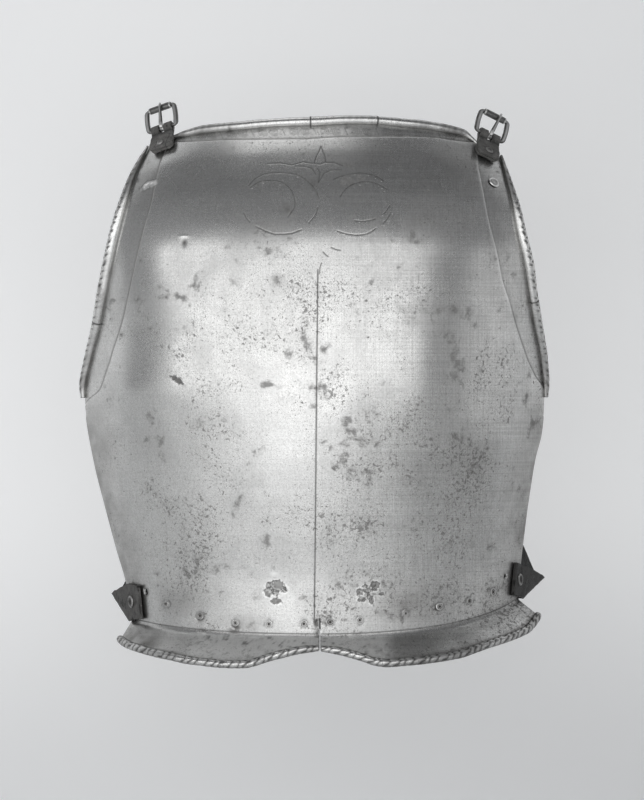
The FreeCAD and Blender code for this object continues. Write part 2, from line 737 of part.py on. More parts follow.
# The plate itself, with the wires in its turned edges

HOLE_SHARES = {"left": (-0.828, 0.0665), "right": (0.8648, 0.0702)}
plate_levels = list(FLANGE_LEVEL_SHARES + CREASE_LEVEL_SHARES)
plate_levels += [k / BODY_STEPS for k in range(1, BODY_STEPS + 1)]
plate_acrosses = [-1 + 2 * k / ACROSS_STEPS for k in range(ACROSS_STEPS + 1)]
plate = bent_sheet(plate_acrosses, lambda across: plate_levels, 0, size("plate_thickness"))

rolls = []
bores = []
for name, (places, roll, wire, swell) in TURNED_EDGES.items():
    last = len(places) - 1
    swells = [between(swell, k / last) for k in range(last + 1)]
    rolls.append(edge_tube(places, [size(roll) * share for share in swells]))
    count = len(places)
    bores.append(edge_tube(places, [size(wire) + size("wire_fit")] * count))
    keep(name, edge_tube(places, [size(wire)] * count, size("wire_setback")))

slit_length = size("slit_height") + 2 * size("flange_drop")
slit = Part.makeBox(size("centre_slit"), 2 * size("waist_reach"), slit_length,
                    Vector(-size("centre_slit") / 2, -2 * size("waist_reach"),
                           -2 * size("flange_drop")))
reach = 4 * (size("plate_thickness") + size("cut_overrun"))
plate_drills = list(lining_drills)
plate_drills.append(drill(plug_seat, size("plug_shank_radius") + size("rivet_fit"), reach))
for side in HANDS:
    plate_drills.append(drill(tab_seats[side], size("tab_shank_radius") + size("rivet_fit"),
                              reach))
    plate_drills.append(drill(strap_seats[side], size("strap_shank_radius") + size("rivet_fit"),
                              reach))
    hole_seat = seat(*HOLE_SHARES[side])
    plate_drills.append(drill(hole_seat, size("side_hole_radius"), reach))
    print(f"{side} hole", hole_seat.Base, hole_seat.Rotation.multVec(Vector(0, 0, 1)))
whole = plate.fuse(rolls)
for cutter in bores + [slit] + plate_drills:
    whole = whole.cut(cutter)
keep("back_plate", whole)

doc.recompute()

# Checks before anything is written

for thing in doc.Objects:
    if {"Invalid", "Error"} & set(thing.State):
        raise RuntimeError(f"{thing.Name} did not compute")
for name, piece in parts.items():
    if piece.Shape.isNull() or not piece.Shape.isValid():
        raise RuntimeError(f"{name} has no valid shape")
    if not piece.Shape.Solids:
        raise RuntimeError(f"{name} has no solid")

os.makedirs("parts", exist_ok=True)
for name, piece in parts.items():
    piece.Shape.exportStep(os.path.join("parts", name + ".step"))
    print(name, len(piece.Shape.Solids), "solids", round(piece.Shape.Volume), "mm3")
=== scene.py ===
"""A field armour's backplate, hung in front of a pale sheet: steel, leather, rivets, buckles."""

import math
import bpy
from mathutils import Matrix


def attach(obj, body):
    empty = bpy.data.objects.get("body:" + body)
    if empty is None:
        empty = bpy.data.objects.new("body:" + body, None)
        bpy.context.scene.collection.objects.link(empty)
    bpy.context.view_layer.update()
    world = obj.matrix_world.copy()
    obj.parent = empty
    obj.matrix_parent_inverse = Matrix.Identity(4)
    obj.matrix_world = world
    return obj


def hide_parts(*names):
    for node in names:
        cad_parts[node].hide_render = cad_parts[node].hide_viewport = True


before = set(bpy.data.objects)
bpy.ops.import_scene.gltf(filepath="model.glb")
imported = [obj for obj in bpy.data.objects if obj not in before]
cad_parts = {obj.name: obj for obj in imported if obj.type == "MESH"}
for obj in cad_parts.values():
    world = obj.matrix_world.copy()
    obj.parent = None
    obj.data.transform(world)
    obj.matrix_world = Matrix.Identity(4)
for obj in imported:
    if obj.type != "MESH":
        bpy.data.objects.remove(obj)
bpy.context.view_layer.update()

from types import SimpleNamespace

import bmesh
import bpy
import numpy as np
from mathutils import Matrix, Vector, noise

# The sheet of pale paper behind and below the plate.
# Paper, swept up from a floor into a wall in one bend. Seen from behind it lets the eye through.
floor_height = -0.21
wall_distance = 0.13
wall_top = 4.0
sheet_reach = 7.0
bend_radius = 0.08
bend_steps = 16
paper_colour = (0.66, 0.67, 0.68, 1)
# Strengths of the paper's painted glow
painted_glow_left, painted_glow_right = 0.37, 0.285
painted_pool_glow = 0.62
sweep_profile = [(-sheet_reach, floor_height)]
for step in range(bend_steps + 1):
    turn = math.pi / 2 * step / bend_steps
    sweep_profile.append((wall_distance - bend_radius + bend_radius * math.sin(turn),
                          floor_height + bend_radius * (1 - math.cos(turn))))
sweep_profile.append((wall_distance, wall_top))
sweep_mesh = bpy.data.meshes.new("paper_sweep")
sweep_mesh.from_pydata(
    [(x, y, z) for y, z in sweep_profile for x in (-sheet_reach, sheet_reach)], [],
    [(2 * k, 2 * k + 1, 2 * k + 3, 2 * k + 2) for k in range(len(sweep_profile) - 1)])
sweep_mesh.polygons.foreach_set("use_smooth", [True] * len(sweep_mesh.polygons))
sweep = bpy.data.objects.new("paper_sweep", sweep_mesh)
bpy.context.collection.objects.link(sweep)


def remap(tree, source, low, high, to_low=0.0, to_high=1.0):
    """Read a value between two limits as another pair of values."""
    node = tree.nodes.new("ShaderNodeMapRange")
    node.interpolation_type = "SMOOTHSTEP"
    for label, value in (("From Min", low), ("From Max", high), ("To Min", to_low),
                         ("To Max", to_high)):
        node.inputs[label].default_value = value
    tree.links.new(source, node.inputs["Value"])
    return node.outputs["Result"]


def reckon(tree, operation, first, second):
    """One sum of two sockets or numbers."""
    node = tree.nodes.new("ShaderNodeMath")
    node.operation = operation
    for slot, value in enumerate((first, second)):
        if isinstance(value, (int, float)):
            node.inputs[slot].default_value = value
        else:
            tree.links.new(value, node.inputs[slot])
    return node.outputs[0]


paper = bpy.data.materials.new("pale_paper")
paper.use_nodes = True
nodes, links = paper.node_tree.nodes, paper.node_tree.links
paper_face = nodes["Principled BSDF"]
paper_face.inputs["Base Color"].default_value = paper_colour
paper_face.inputs["Roughness"].default_value = 0.9
paper_face.inputs["Specular IOR Level"].default_value = 0.1
see_through = nodes.new("ShaderNodeBsdfTransparent")
paper_side = nodes.new("ShaderNodeNewGeometry")
paper_mix = nodes.new("ShaderNodeMixShader")
links.new(paper_side.outputs["Backfacing"], paper_mix.inputs[0])
paper_place = nodes.new("ShaderNodeSeparateXYZ")
links.new(nodes.new("ShaderNodeTexCoord").outputs["Object"], paper_place.inputs[0])
# Painted light: the paper glows brighter to the left, darker towards the bottom and a little
# darker higher up
painted_paper_glow = reckon(paper.node_tree, "ADD",
                    remap(paper.node_tree, paper_place.outputs["X"], -0.26, 0.3, painted_glow_left,
                          painted_glow_right),
                    remap(paper.node_tree, paper_place.outputs["Z"], -0.16, 0.12, -0.1, 0.08))
painted_paper_glow = reckon(paper.node_tree, "SUBTRACT", painted_paper_glow,
                    remap(paper.node_tree, paper_place.outputs["Z"], 0.18, 0.44, 0.0, 0.05))
# A painted pool of light glows on the floor in front, and its reflection fills the plate's lower
# half with light
painted_pool_width = reckon(paper.node_tree, "MULTIPLY",
                    remap(paper.node_tree, paper_place.outputs["X"], -1.3, -0.45),
                    remap(paper.node_tree, paper_place.outputs["X"], 0.1, 0.75, 1.0, 0.0))
painted_pool = reckon(paper.node_tree, "MULTIPLY", painted_pool_width,
              remap(paper.node_tree, paper_place.outputs["Y"], -1.1, -0.08, painted_pool_glow, 0.0))
painted_paper_glow = reckon(paper.node_tree, "ADD", painted_paper_glow, painted_pool)
# The painted glow shows only to camera, glossy and transmission rays, so it is seen and reflected
# but lights nothing
ray_kind = nodes.new("ShaderNodeLightPath")
seen = reckon(paper.node_tree, "MAXIMUM", ray_kind.outputs["Is Camera Ray"],
              reckon(paper.node_tree, "MAXIMUM", ray_kind.outputs["Is Glossy Ray"],
                     ray_kind.outputs["Is Transmission Ray"]))
paper_painted_light = nodes.new("ShaderNodeEmission")
links.new(reckon(paper.node_tree, "MULTIPLY", painted_paper_glow, seen), paper_painted_light.inputs["Strength"])
paper_sum = nodes.new("ShaderNodeAddShader")
links.new(paper_face.outputs[0], paper_sum.inputs[0])
links.new(paper_painted_light.outputs[0], paper_sum.inputs[1])
links.new(paper_sum.outputs[0], paper_mix.inputs[1])
links.new(see_through.outputs[0], paper_mix.inputs[2])
links.new(paper_mix.outputs[0], nodes["Material Output"].inputs["Surface"])
sweep_mesh.materials.append(paper)

# The camera, level with the middle of the plate and far off, as for a catalogue picture.
camera_data = bpy.data.cameras.new("catalogue_camera")
camera_distance = 4.0
view_height = 0.592
view_middle = Vector((0.0015, -0.06, 0.1717))
camera_data.lens = 36.0 * camera_distance / view_height
camera = bpy.data.objects.new("catalogue_camera", camera_data)
camera.location = view_middle - Vector((0, camera_distance, 0))
camera.rotation_euler = (math.pi / 2, 0, 0)
bpy.context.collection.objects.link(camera)
bpy.context.scene.camera = camera
bpy.context.scene.view_settings.view_transform = "Standard"

# The lamps: one broad soft window in front to the left, weaker ones to the right and above,
# and the faint light of a grey room.
room = bpy.data.worlds.new("grey_room")
bpy.context.scene.world = room
room.use_nodes = True
room.node_tree.nodes["Background"].inputs["Color"].default_value = (0.75, 0.76, 0.78, 1)
room_way = room.node_tree.nodes.new("ShaderNodeSeparateXYZ")
room.node_tree.links.new(room.node_tree.nodes.new("ShaderNodeTexCoord").outputs["Generated"],
                         room_way.inputs[0])
room_glow = reckon(room.node_tree, "ADD",
                   remap(room.node_tree, room_way.outputs["Z"], 0.25, 0.75, 0.36, 0.23),
                   remap(room.node_tree, room_way.outputs["Z"], -0.3, 0.02, -0.1, 0.0))
room.node_tree.links.new(room_glow, room.node_tree.nodes["Background"].inputs["Strength"])


def soft_window(name, width, height, place, aim, radiance):
    """A flat square lamp that shines from a place at a point, with an even glow."""
    lamp_data = bpy.data.lights.new(name, "AREA")
    lamp_data.shape = "RECTANGLE"
    lamp_data.size = width
    lamp_data.size_y = height
    lamp_data.energy = radiance * math.pi * width * height
    lamp = bpy.data.objects.new(name, lamp_data)
    lamp.location = place
    lamp.rotation_euler = (Vector(aim) - Vector(place)).to_track_quat("-Z", "Y").to_euler()
    lamp.visible_camera = False
    bpy.context.collection.objects.link(lamp)


soft_window("main_window", 6.0, 1.22, (-1.3, -1.85, 0.41), (-1.3, 0.0, 0.41), 1.12)
soft_window("right_fill", 1.4, 0.9, (2.3, -0.5, 0.2), (0.1, -0.05, 0.2), 0.4)
soft_window("top_window", 1.3, 1.2, (-0.3, -0.3, 2.6), (-0.3, -0.3, 0.2), 0.9)

# Old steel. Its finish is built of three effects that every iron or steel piece here uses.
# Pits and stains are what rust has left, hatching is what the polisher's grit has left.


def effect_group(name, values, results):
    """An empty effect with named number inputs and named outputs."""
    group = bpy.data.node_groups.new(name, "ShaderNodeTree")
    for label, start in values:
        socket = group.interface.new_socket(label, in_out="INPUT", socket_type="NodeSocketFloat")
        socket.default_value = start
    for label, kind in results:
        group.interface.new_socket(label, in_out="OUTPUT", socket_type=kind)
    entry = group.nodes.new("NodeGroupInput")
    leaving = group.nodes.new("NodeGroupOutput")
    where = group.nodes.new("ShaderNodeTexCoord")
    return group, entry, leaving, where


def add_noise(tree, where, scale, detail, rough, stretch=(1, 1, 1), warp=0.0):
    """Cloudy noise in the piece's own metres, stretched along its axes."""
    mapping = tree.nodes.new("ShaderNodeMapping")
    mapping.inputs["Scale"].default_value = stretch
    tree.links.new(where.outputs["Object"], mapping.inputs["Vector"])
    cloud = tree.nodes.new("ShaderNodeTexNoise")
    cloud.inputs["Scale"].default_value = scale
    cloud.inputs["Detail"].default_value = detail
    cloud.inputs["Roughness"].default_value = rough
    cloud.inputs["Distortion"].default_value = warp
    tree.links.new(mapping.outputs[0], cloud.inputs["Vector"])
    return cloud.outputs["Fac"]


def blend_colours(tree, share, first, second):
    """Go from one colour to another by a share."""
    node = tree.nodes.new("ShaderNodeMix")
    node.data_type = "RGBA"
    tree.links.new(share, node.inputs["Factor"])
    for slot, value in (("A", first), ("B", second)):
        socket = next(s for s in node.inputs if s.name == slot and s.type == "RGBA")
        if isinstance(value, tuple):
            socket.default_value = value
        else:
            tree.links.new(value, socket)
    return next(s for s in node.outputs if s.type == "RGBA")


pitting, pit_in, pit_out, pit_where = effect_group(
    "pitting", (("Amount", 0.5),), (("Pits", "NodeSocketFloat"), ("Height", "NodeSocketFloat")))
pit_spread = add_noise(pitting, pit_where, 17.0, 6.0, 0.62, warp=0.5)
pit_ragged = add_noise(pitting, pit_where, 430.0, 4.0, 0.6, warp=0.5)
pit_fine = add_noise(pitting, pit_where, 1150.0, 2.0, 0.5)
pit_place = pitting.nodes.new("ShaderNodeSeparateXYZ")
pitting.links.new(pit_where.outputs["Object"], pit_place.inputs[0])
pit_push = reckon(pitting, "ADD",
                  reckon(pitting, "MULTIPLY", reckon(pitting, "SUBTRACT", pit_spread, 0.5), 0.6),
                  reckon(pitting, "MULTIPLY", pit_in.outputs["Amount"], 0.1))
pit_push = reckon(pitting, "ADD", pit_push,
                  remap(pitting, pit_place.outputs["Z"], 0.05, 0.34, 0.02, -0.045))
pit_push = reckon(pitting, "ADD", pit_push,
                  remap(pitting, pit_place.outputs["X"], -0.12, 0.1, -0.015, 0.015))
pit_blots = remap(pitting, reckon(pitting, "ADD", pit_ragged, pit_push), 0.66, 0.74)
pit_specks = remap(pitting, reckon(pitting, "ADD", pit_fine,
                                   reckon(pitting, "MULTIPLY", pit_push, 0.6)), 0.6, 0.74)
pit_all = reckon(pitting, "MAXIMUM", pit_blots, reckon(pitting, "MULTIPLY", pit_specks, 0.7))
pitting.links.new(pit_all, pit_out.inputs["Pits"])
pitting.links.new(reckon(pitting, "MULTIPLY", pit_all, -1.0), pit_out.inputs["Height"])

staining, stain_in, stain_out, stain_where = effect_group(
    "staining", (("Amount", 0.5),), (("Stain", "NodeSocketFloat"), ("Cloud", "NodeSocketFloat")))
stain_large = add_noise(staining, stain_where, 22.0, 8.0, 0.62, warp=0.4)
stain_small = add_noise(staining, stain_where, 95.0, 6.0, 0.65, warp=0.3)
stain_sum = reckon(staining, "ADD", reckon(staining, "MULTIPLY", stain_large, 0.55),
                   reckon(staining, "MULTIPLY", stain_small, 0.45))
stain_push = reckon(staining, "ADD", stain_sum,
                    reckon(staining, "MULTIPLY", stain_in.outputs["Amount"], 0.12))
staining.links.new(remap(staining, stain_push, 0.6, 0.68), stain_out.inputs["Stain"])
staining.links.new(remap(staining, stain_large, 0.32, 0.68), stain_out.inputs["Cloud"])

hatching, hatch_in, hatch_out, hatch_where = effect_group(
    "hatching", (("Amount", 0.5),), (("Tone", "NodeSocketFloat"), ("Height", "NodeSocketFloat"),
                                    ("Grain", "NodeSocketFloat")))
hatch_level = add_noise(hatching, hatch_where, 90.0, 3.0, 0.7, (0.12, 0.12, 14.0))
hatch_upright = add_noise(hatching, hatch_where, 90.0, 3.0, 0.7, (14.0, 3.0, 0.12))
hatch_both = reckon(hatching, "ADD", hatch_level, hatch_upright)
hatch_tone = remap(hatching, hatch_both, 0.78, 1.24)
hatch_place = hatching.nodes.new("ShaderNodeSeparateXYZ")
hatching.links.new(hatch_where.outputs["Object"], hatch_place.inputs[0])
hatch_tone = reckon(hatching, "MULTIPLY", hatch_tone,
                    remap(hatching, hatch_place.outputs["X"], -0.01, 0.07, 0.45, 1.3))
hatching.links.new(remap(hatching, add_noise(hatching, hatch_where, 780.0, 3.0, 0.7), 0.36, 0.66),
                   hatch_out.inputs["Grain"])
hatching.links.new(reckon(hatching, "MULTIPLY", hatch_tone, hatch_in.outputs["Amount"]),
                   hatch_out.inputs["Tone"])
hatching.links.new(reckon(hatching, "MULTIPLY", hatch_both, hatch_in.outputs["Amount"]),
                   hatch_out.inputs["Height"])

# The plate: one sheet of forged steel, 1.5 mm thick, hammered to the back's shape.
# Its waist is turned out into a flange of two lobes, with a split between them. Borders along
# the neck and the arms are sunk, and lines are cut into it with a graver.
plate_thickness = 0.0015
plate_height = 0.378
half_widths = {-1: 0.176, 1: 0.1675}
waist_reach = 0.112
blade_swell = 0.031
back_depth = 0.13
flange_drop = 0.0254
flange_flare = 0.0229
rise_power = 2.1
spine_shares = ((0, 0), (0.1, 0.13), (0.2, 0.39), (0.35, 0.77), (0.5, 0.97), (0.62, 1.0),
                (0.75, 0.84), (0.85, 0.5), (0.93, 0.02), (1, -0.6), (1.03, -0.87))
depth_shares = ((0, 0.9), (0.25, 1.1), (0.475, 1.25), (0.7, 1.12), (0.85, 1.0), (1, 0.85))
right_angle_shares = ((0, 0.75), (0.25, 0.76), (0.475, 0.76), (0.7, 0.66), (0.85, 0.57),
                      (1, 0.5))
edge_width_shares = {
    -1: ((0.025, 0.793), (0.09, 0.818), (0.161, 0.862), (0.249, 0.9125), (0.335, 0.958),
         (0.426, 0.992), (0.474, 1.0), (0.54, 0.973), (0.6, 0.939), (0.66, 0.9136),
         (0.72, 0.888), (0.78, 0.859), (0.836, 0.825), (0.894, 0.783), (0.95, 0.722)),
    1: ((0.065, 0.88), (0.12, 0.89), (0.209, 0.913), (0.275, 0.934), (0.34, 0.959),
        (0.39, 0.987), (0.44, 0.998), (0.474, 1.0), (0.54, 0.987), (0.6, 0.961),
        (0.66, 0.937), (0.72, 0.917), (0.78, 0.885), (0.836, 0.859), (0.894, 0.823),
        (0.945, 0.79)),
}
end_rise_shares = {
    -1: ((0, 0.025), (0.25, 0.005), (0.475, 0), (0.75, -0.02), (1, -0.05)),
    1: ((0, 0.065), (0.25, 0.025), (0.475, 0), (0.75, -0.03), (1, -0.068)),
}
flange_drop_shares = {
    -1: ((0, 0.37), (0.0625, 0.41), (0.181, 0.61), (0.287, 0.87), (0.379, 0.93),
         (0.565, 0.965), (0.776, 0.82), (1, 0.43)),
    1: ((0, 0.38), (0.055, 0.43), (0.149, 0.65), (0.221, 0.92), (0.278, 0.95), (0.405, 1.0),
        (0.545, 0.95), (0.703, 0.88), (0.878, 0.81), (1, 0.72)),
}
flange_fall_shares = {
    -1: ((0, 0.37), (0.0625, 0.41), (0.181, 0.61), (0.287, 0.85), (0.379, 0.87), (0.43, 0.853),
         (0.53, 0.818), (0.59, 0.765), (0.65, 0.735), (0.785, 0.67), (0.86, 0.65), (1, 0.6)),
    1: ((0, 0.38), (0.055, 0.43), (0.149, 0.63), (0.2, 0.78), (0.25, 0.84), (0.33, 0.835),
        (0.42, 0.83), (0.52, 0.815), (0.6, 0.74), (0.69, 0.695), (0.8, 0.69), (0.88, 0.69),
        (0.94, 0.62), (1, 0.5)),
}
neck_lifts = ((-0.8, 0), (-0.66, 0), (-0.59, -0.7), (-0.38, -2.2), (-0.05, -2.2), (0.12, -0.7),
              (0.3, 0.7), (0.43, 1.5), (0.49, 2.2), (0.55, 3.0), (0.62, 3.7), (0.69, 4.4),
              (0.76, 5.2), (0.82, 2.4), (0.855, 0), (0.9, 0))
flare_shares = ((0, 0), (0.1, 0.03), (0.25, 0.17), (0.5, 0.45), (1, 1))


def read_curve(table, places):
    """Read a table of pairs at many places, on a smooth curve that never overshoots them."""
    x = np.array([pair[0] for pair in table], float)
    y = np.array([pair[1] for pair in table], float)
    places = np.clip(np.asarray(places, float), x[0], x[-1])
    steps = np.diff(x)
    rises = np.diff(y) / steps
    slopes = np.zeros(len(x))
    slopes[0], slopes[-1] = rises[0], rises[-1]
    for k in range(1, len(rises)):
        before, after = rises[k - 1], rises[k]
        if before * after > 0:
            heavy_before = 2 * steps[k] + steps[k - 1]
            heavy_after = steps[k] + 2 * steps[k - 1]
            slopes[k] = ((heavy_before + heavy_after)
                         / (heavy_before / before + heavy_after / after))
    k = np.clip(np.searchsorted(x, places, side="right") - 1, 0, len(steps) - 1)
    step = steps[k]
    part = (places - x[k]) / step
    rest = 1 - part
    return (y[k] * (1 + 2 * part) * rest ** 2 + slopes[k] * step * part * rest ** 2
            + y[k + 1] * (1 + 2 * rest) * part ** 2 - slopes[k + 1] * step * rest * part ** 2)


def smooth_step(value):
    value = np.clip(value, 0, 1)
    return value * value * (3 - 2 * value)


def by_hand(tables, across, places):
    """Read the left or the right table, by which side of the spine each place is on."""
    return np.where(across < 0, read_curve(tables[-1], places), read_curve(tables[1], places))


def on_plate(across, level):
    """Points on the outer face: across -1 to 1 from side to side, level 0 to 1 from waist to
    neck, and down to -1 at the flange's edge."""
    across, level = np.broadcast_arrays(np.asarray(across, float), np.asarray(level, float))
    reach = np.abs(across)
    up = np.maximum(level, 0)
    up = up + (read_curve(neck_lifts, across) / 1000 / plate_height
               * smooth_step((up - 0.93) / 0.07))
    half_width = np.where(across < 0, half_widths[-1], half_widths[1])
    rise = by_hand(end_rise_shares, across, up)
    edge = half_width * by_hand(edge_width_shares, across, up + rise)
    edge_turn = np.radians(90 * read_curve(right_angle_shares, up))
    radius = edge / np.sin(edge_turn)
    depth = back_depth * read_curve(depth_shares, up)
    turn = across * edge_turn
    spine = waist_reach + blade_swell * read_curve(spine_shares, up)
    x = radius * np.sin(turn)
    y = depth * (1 - np.cos(turn)) - spine
    z = plate_height * (up + rise * reach ** rise_power)
    down = np.maximum(-level, 0)
    drop = by_hand(flange_drop_shares, across, reach)
    out_x, out_y = depth * np.sin(turn), -radius * np.cos(turn)
    out_length = np.hypot(out_x, out_y)
    flare = flange_flare * drop * read_curve(flare_shares, down)
    x = x + out_x / out_length * flare
    y = y + out_y / out_length * flare
    z = z - flange_drop * by_hand(flange_fall_shares, across, reach) * down
    return np.stack([x, y, z], axis=-1)


def off_plate(across, level):
    """The directions that the outer face looks in."""
    nudge = 0.001
    sideways = (on_plate(np.minimum(across + nudge, 1), level)
                - on_plate(np.maximum(across - nudge, -1), level))
    upward = (on_plate(across, np.minimum(level + nudge, 1))
              - on_plate(across, np.maximum(level - nudge, -1)))
    out = np.cross(sideways, upward)
    return out / np.linalg.norm(out, axis=-1, keepdims=True)


# What the graver cut, in millimetres to the right of the spine and above the waist line
fleur = {
    "stem": [(-4.1, 344.3), (-2.6, 349.3), (-0.7, 353.0), (0.7, 357.1), (2.2, 353.0),
             (3.7, 349.3), (4.1, 345.1)],
    "tie": [(-4.1, 344.3), (0.0, 343.4), (4.1, 345.1)],
    "root": [(-1.9, 340.4), (0.0, 337.4), (-1.2, 329.8)],
    "left_leaf": [(-38.5, 344.1), (-29.6, 344.7), (-20.3, 343.0), (-12.2, 345.3),
                  (-5.2, 344.1)],
    "left_leaf_underside": [(-18.2, 342.2), (-11.1, 341.9), (-5.9, 340.4), (-3.0, 336.0)],
    "right_leaf": [(4.4, 344.8), (10.4, 344.7), (16.6, 342.2)],
    "right_leaf_underside": [(-1.2, 329.8), (3.0, 336.7), (8.1, 339.2), (15.8, 339.2)],
}
left_crescent = {
    "outside": [(-51.8, 328.2), (-47.4, 333.2), (-41.1, 336.3), (-35.5, 337.3),
                (-28.3, 337.4), (-22.9, 337.0), (-17.3, 336.0), (-12.6, 333.7),
                (-8.9, 330.8), (-5.5, 327.5), (-3.0, 324.1), (-0.7, 318.9)],
    "inside": [(-50.5, 326.9), (-45.4, 330.3), (-41.4, 331.4), (-37.0, 331.7),
               (-32.6, 331.6), (-29.2, 330.8), (-25.5, 329.0), (-22.4, 326.5),
               (-20.3, 323.5), (-19.0, 320.4), (-18.4, 317.5), (-18.2, 314.5),
               (-18.6, 311.8), (-20.0, 309.5), (-23.3, 304.9)],
    "horn": [(-55.5, 307.8), (-53.7, 304.1), (-51.1, 301.2)],
    "foot": [(-46.6, 298.2), (-43.2, 296.3), (-38.5, 294.1), (-32.6, 292.3), (-25.9, 292.3),
             (-20.0, 293.0), (-13.5, 295.5)],
    "return": [(-1.6, 312.0), (-2.2, 308.6), (-4.1, 305.2), (-8.1, 300.4)],
}
right_crescent = {
    "outside": [(9.6, 332.0), (13.6, 334.0), (18.5, 335.4), (23.4, 336.6), (28.6, 337.1),
                (33.3, 336.8), (37.7, 336.0), (42.2, 334.2), (46.4, 331.5)],
    "inside": [(14.8, 319.7), (16.6, 322.9), (19.2, 325.6), (21.9, 327.8), (25.2, 329.4),
               (30.2, 330.6), (35.4, 330.8), (39.2, 330.0), (42.9, 328.6), (46.2, 327.1),
               (48.8, 325.2)],
    "side": [(51.1, 313.8), (49.1, 310.4), (46.4, 307.3)],
    "horn": [(51.5, 308.2), (49.3, 304.1), (45.9, 300.4)],
    "floor": [(25.2, 302.2), (30.3, 301.6), (35.5, 302.2), (40.4, 303.5)],
    "foot": [(12.6, 294.5), (18.5, 292.6), (25.2, 291.6), (29.6, 291.7), (33.7, 292.4),
             (37.4, 294.2), (40.7, 296.7)],
}
below_crescents = {
    "long_tick": [(8.1, 282.7), (11.1, 281.2), (14.8, 280.5)],
    "short_tick": [(2.2, 279.3), (4.0, 277.5), (5.9, 276.0)],
    "upright_tick": [(1.1, 271.2), (0.0, 267.9), (-0.4, 263.4)],
}
spine_line = [(-1.5, 266.4), (-2.1, 208.7), (-2.7, 142.1), (-3.4, 68.1), (-4.1, 8.9)]
graved_lines = [line for group in (fleur, left_crescent, right_crescent, below_crescents)
                for line in group.values()]

# A vine of scrolls, etched faintly along the sunken border at the neck: each scroll is three
# open rings, (half width, half height, how far round), and a stalk leads on to the next one
vine_height = ((-122.0, 363.6), (-95.0, 366.0), (-58.0, 367.9), (0.0, 369.3), (47.0, 368.6),
               (77.7, 367.0), (108.0, 363.8))
scroll_spacing = 11.5
scroll_rings = ((1.5, 1.0, 5.2), (3.0, 1.9, 4.2), (4.5, 2.8, 3.0))
vine = []
for turn_place in range(-9, 9):
    middle_x = turn_place * scroll_spacing + 2.0
    side = 1 if turn_place % 2 else -1
    middle_z = float(np.interp(middle_x, *zip(*vine_height)))
    for ring, (wide, high, sweep_angle) in enumerate(scroll_rings):
        start = 0.5 + 0.4 * ring
        vine.append([(middle_x + side * wide * math.cos(start + sweep_angle * k / 10),
                      middle_z - side * high * math.sin(start + sweep_angle * k / 10))
                     for k in range(11)])
    vine.append([(middle_x + 5.8 + 2.2 * k / 4 - 1.1, middle_z + side * (2.4 - 1.2 * k))
                 for k in range(5)])


def distance_to(lines, x, z):
    """How far each point is from the nearest of some lines, all in millimetres."""
    nearest = np.full(len(x), 1e3)
    for line in lines:
        for (ax, az), (bx, bz) in zip(line, line[1:]):
            close = np.nonzero((x > min(ax, bx) - 6) & (x < max(ax, bx) + 6)
                               & (z > min(az, bz) - 6) & (z < max(az, bz) + 6))[0]
            if not len(close):
                continue
            dx, dz = bx - ax, bz - az
            along = np.clip(((x[close] - ax) * dx + (z[close] - az) * dz)
                            / (dx * dx + dz * dz), 0, 1)
            gap = np.hypot(x[close] - ax - along * dx, z[close] - az - along * dz)
            nearest[close] = np.minimum(nearest[close], gap)
    return nearest


# How far in from each arm edge its sunken border reaches, and where the neck's border ends
left_border = ((168.5, 8.0), (186.5, 15.5), (213.0, 18.1), (235.3, 19.7), (265.7, 21.2),
               (295.3, 21.9), (310.1, 22.6), (353.0, 17.8), (372.0, 15.0))
right_border = ((175.4, 2.0), (186.5, 6.0), (203.5, 12.6), (223.5, 16.3), (242.7, 18.5),
                (263.4, 22.0), (283.4, 22.9), (299.0, 23.7), (316.7, 24.0), (338.2, 22.6),
                (352.2, 20.0), (372.0, 17.0))
neck_border = ((-95.0, 362.9), (-58.0, 363.6), (-12.6, 363.6), (13.3, 365.1), (47.0, 365.5),
               (77.7, 365.8), (108.0, 362.9))


def inside_border(across, level, x, z):
    """How far each point is inside a sunken border, in millimetres, less than 0 outside."""
    edge_x = on_plate(np.where(across < 0, -1.0, 1.0), level)[..., 0] * 1000
    from_edge = np.abs(edge_x - x)
    width = np.where(across < 0, read_curve(left_border, z), read_curve(right_border, z))
    width = width * smooth_step((z - np.where(across < 0, 166.0, 176.0)) / 14.0)
    in_arm = np.where(z > 160, width - from_edge, -9.0)
    in_neck = z - (read_curve(neck_border, x) - 0.7)
    return in_arm, in_neck


# Old damage: where rust has eaten flat-bottomed hollows, each x, z, half width, half height
rust_hollows = ((-31.2, 35.7, 4.2, 3.0), (-37.6, 31.7, 2.5, 2.4), (-32.5, 31.2, 2.0, 1.5),
                (-25.7, 33.2, 1.2, 1.6), (-37.6, 36.3, 1.2, 1.5), (-31.9, 24.9, 2.6, 1.6),
                (34.8, 32.6, 2.4, 1.3), (28.9, 31.1, 1.5, 2.0), (40.3, 36.3, 2.2, 2.2),
                (45.1, 30.0, 1.5, 0.9), (37.7, 25.4, 1.2, 2.0), (30.4, 26.2, 2.0, 1.4),
                (33.0, 35.4, 1.3, 1.2), (35.5, 29.2, 0.9, 1.9))
rust_cracks = [[(36.0, 30.5), end] for end in ((29.0, 34.0), (33.0, 38.0), (41.0, 37.0),
                                               (47.0, 29.0), (39.0, 22.0), (30.0, 24.0))]
scoured_rings = ((-32.6, 34.5, 8.5, 13.0), (36.3, 30.3, 10.0, 10.5))
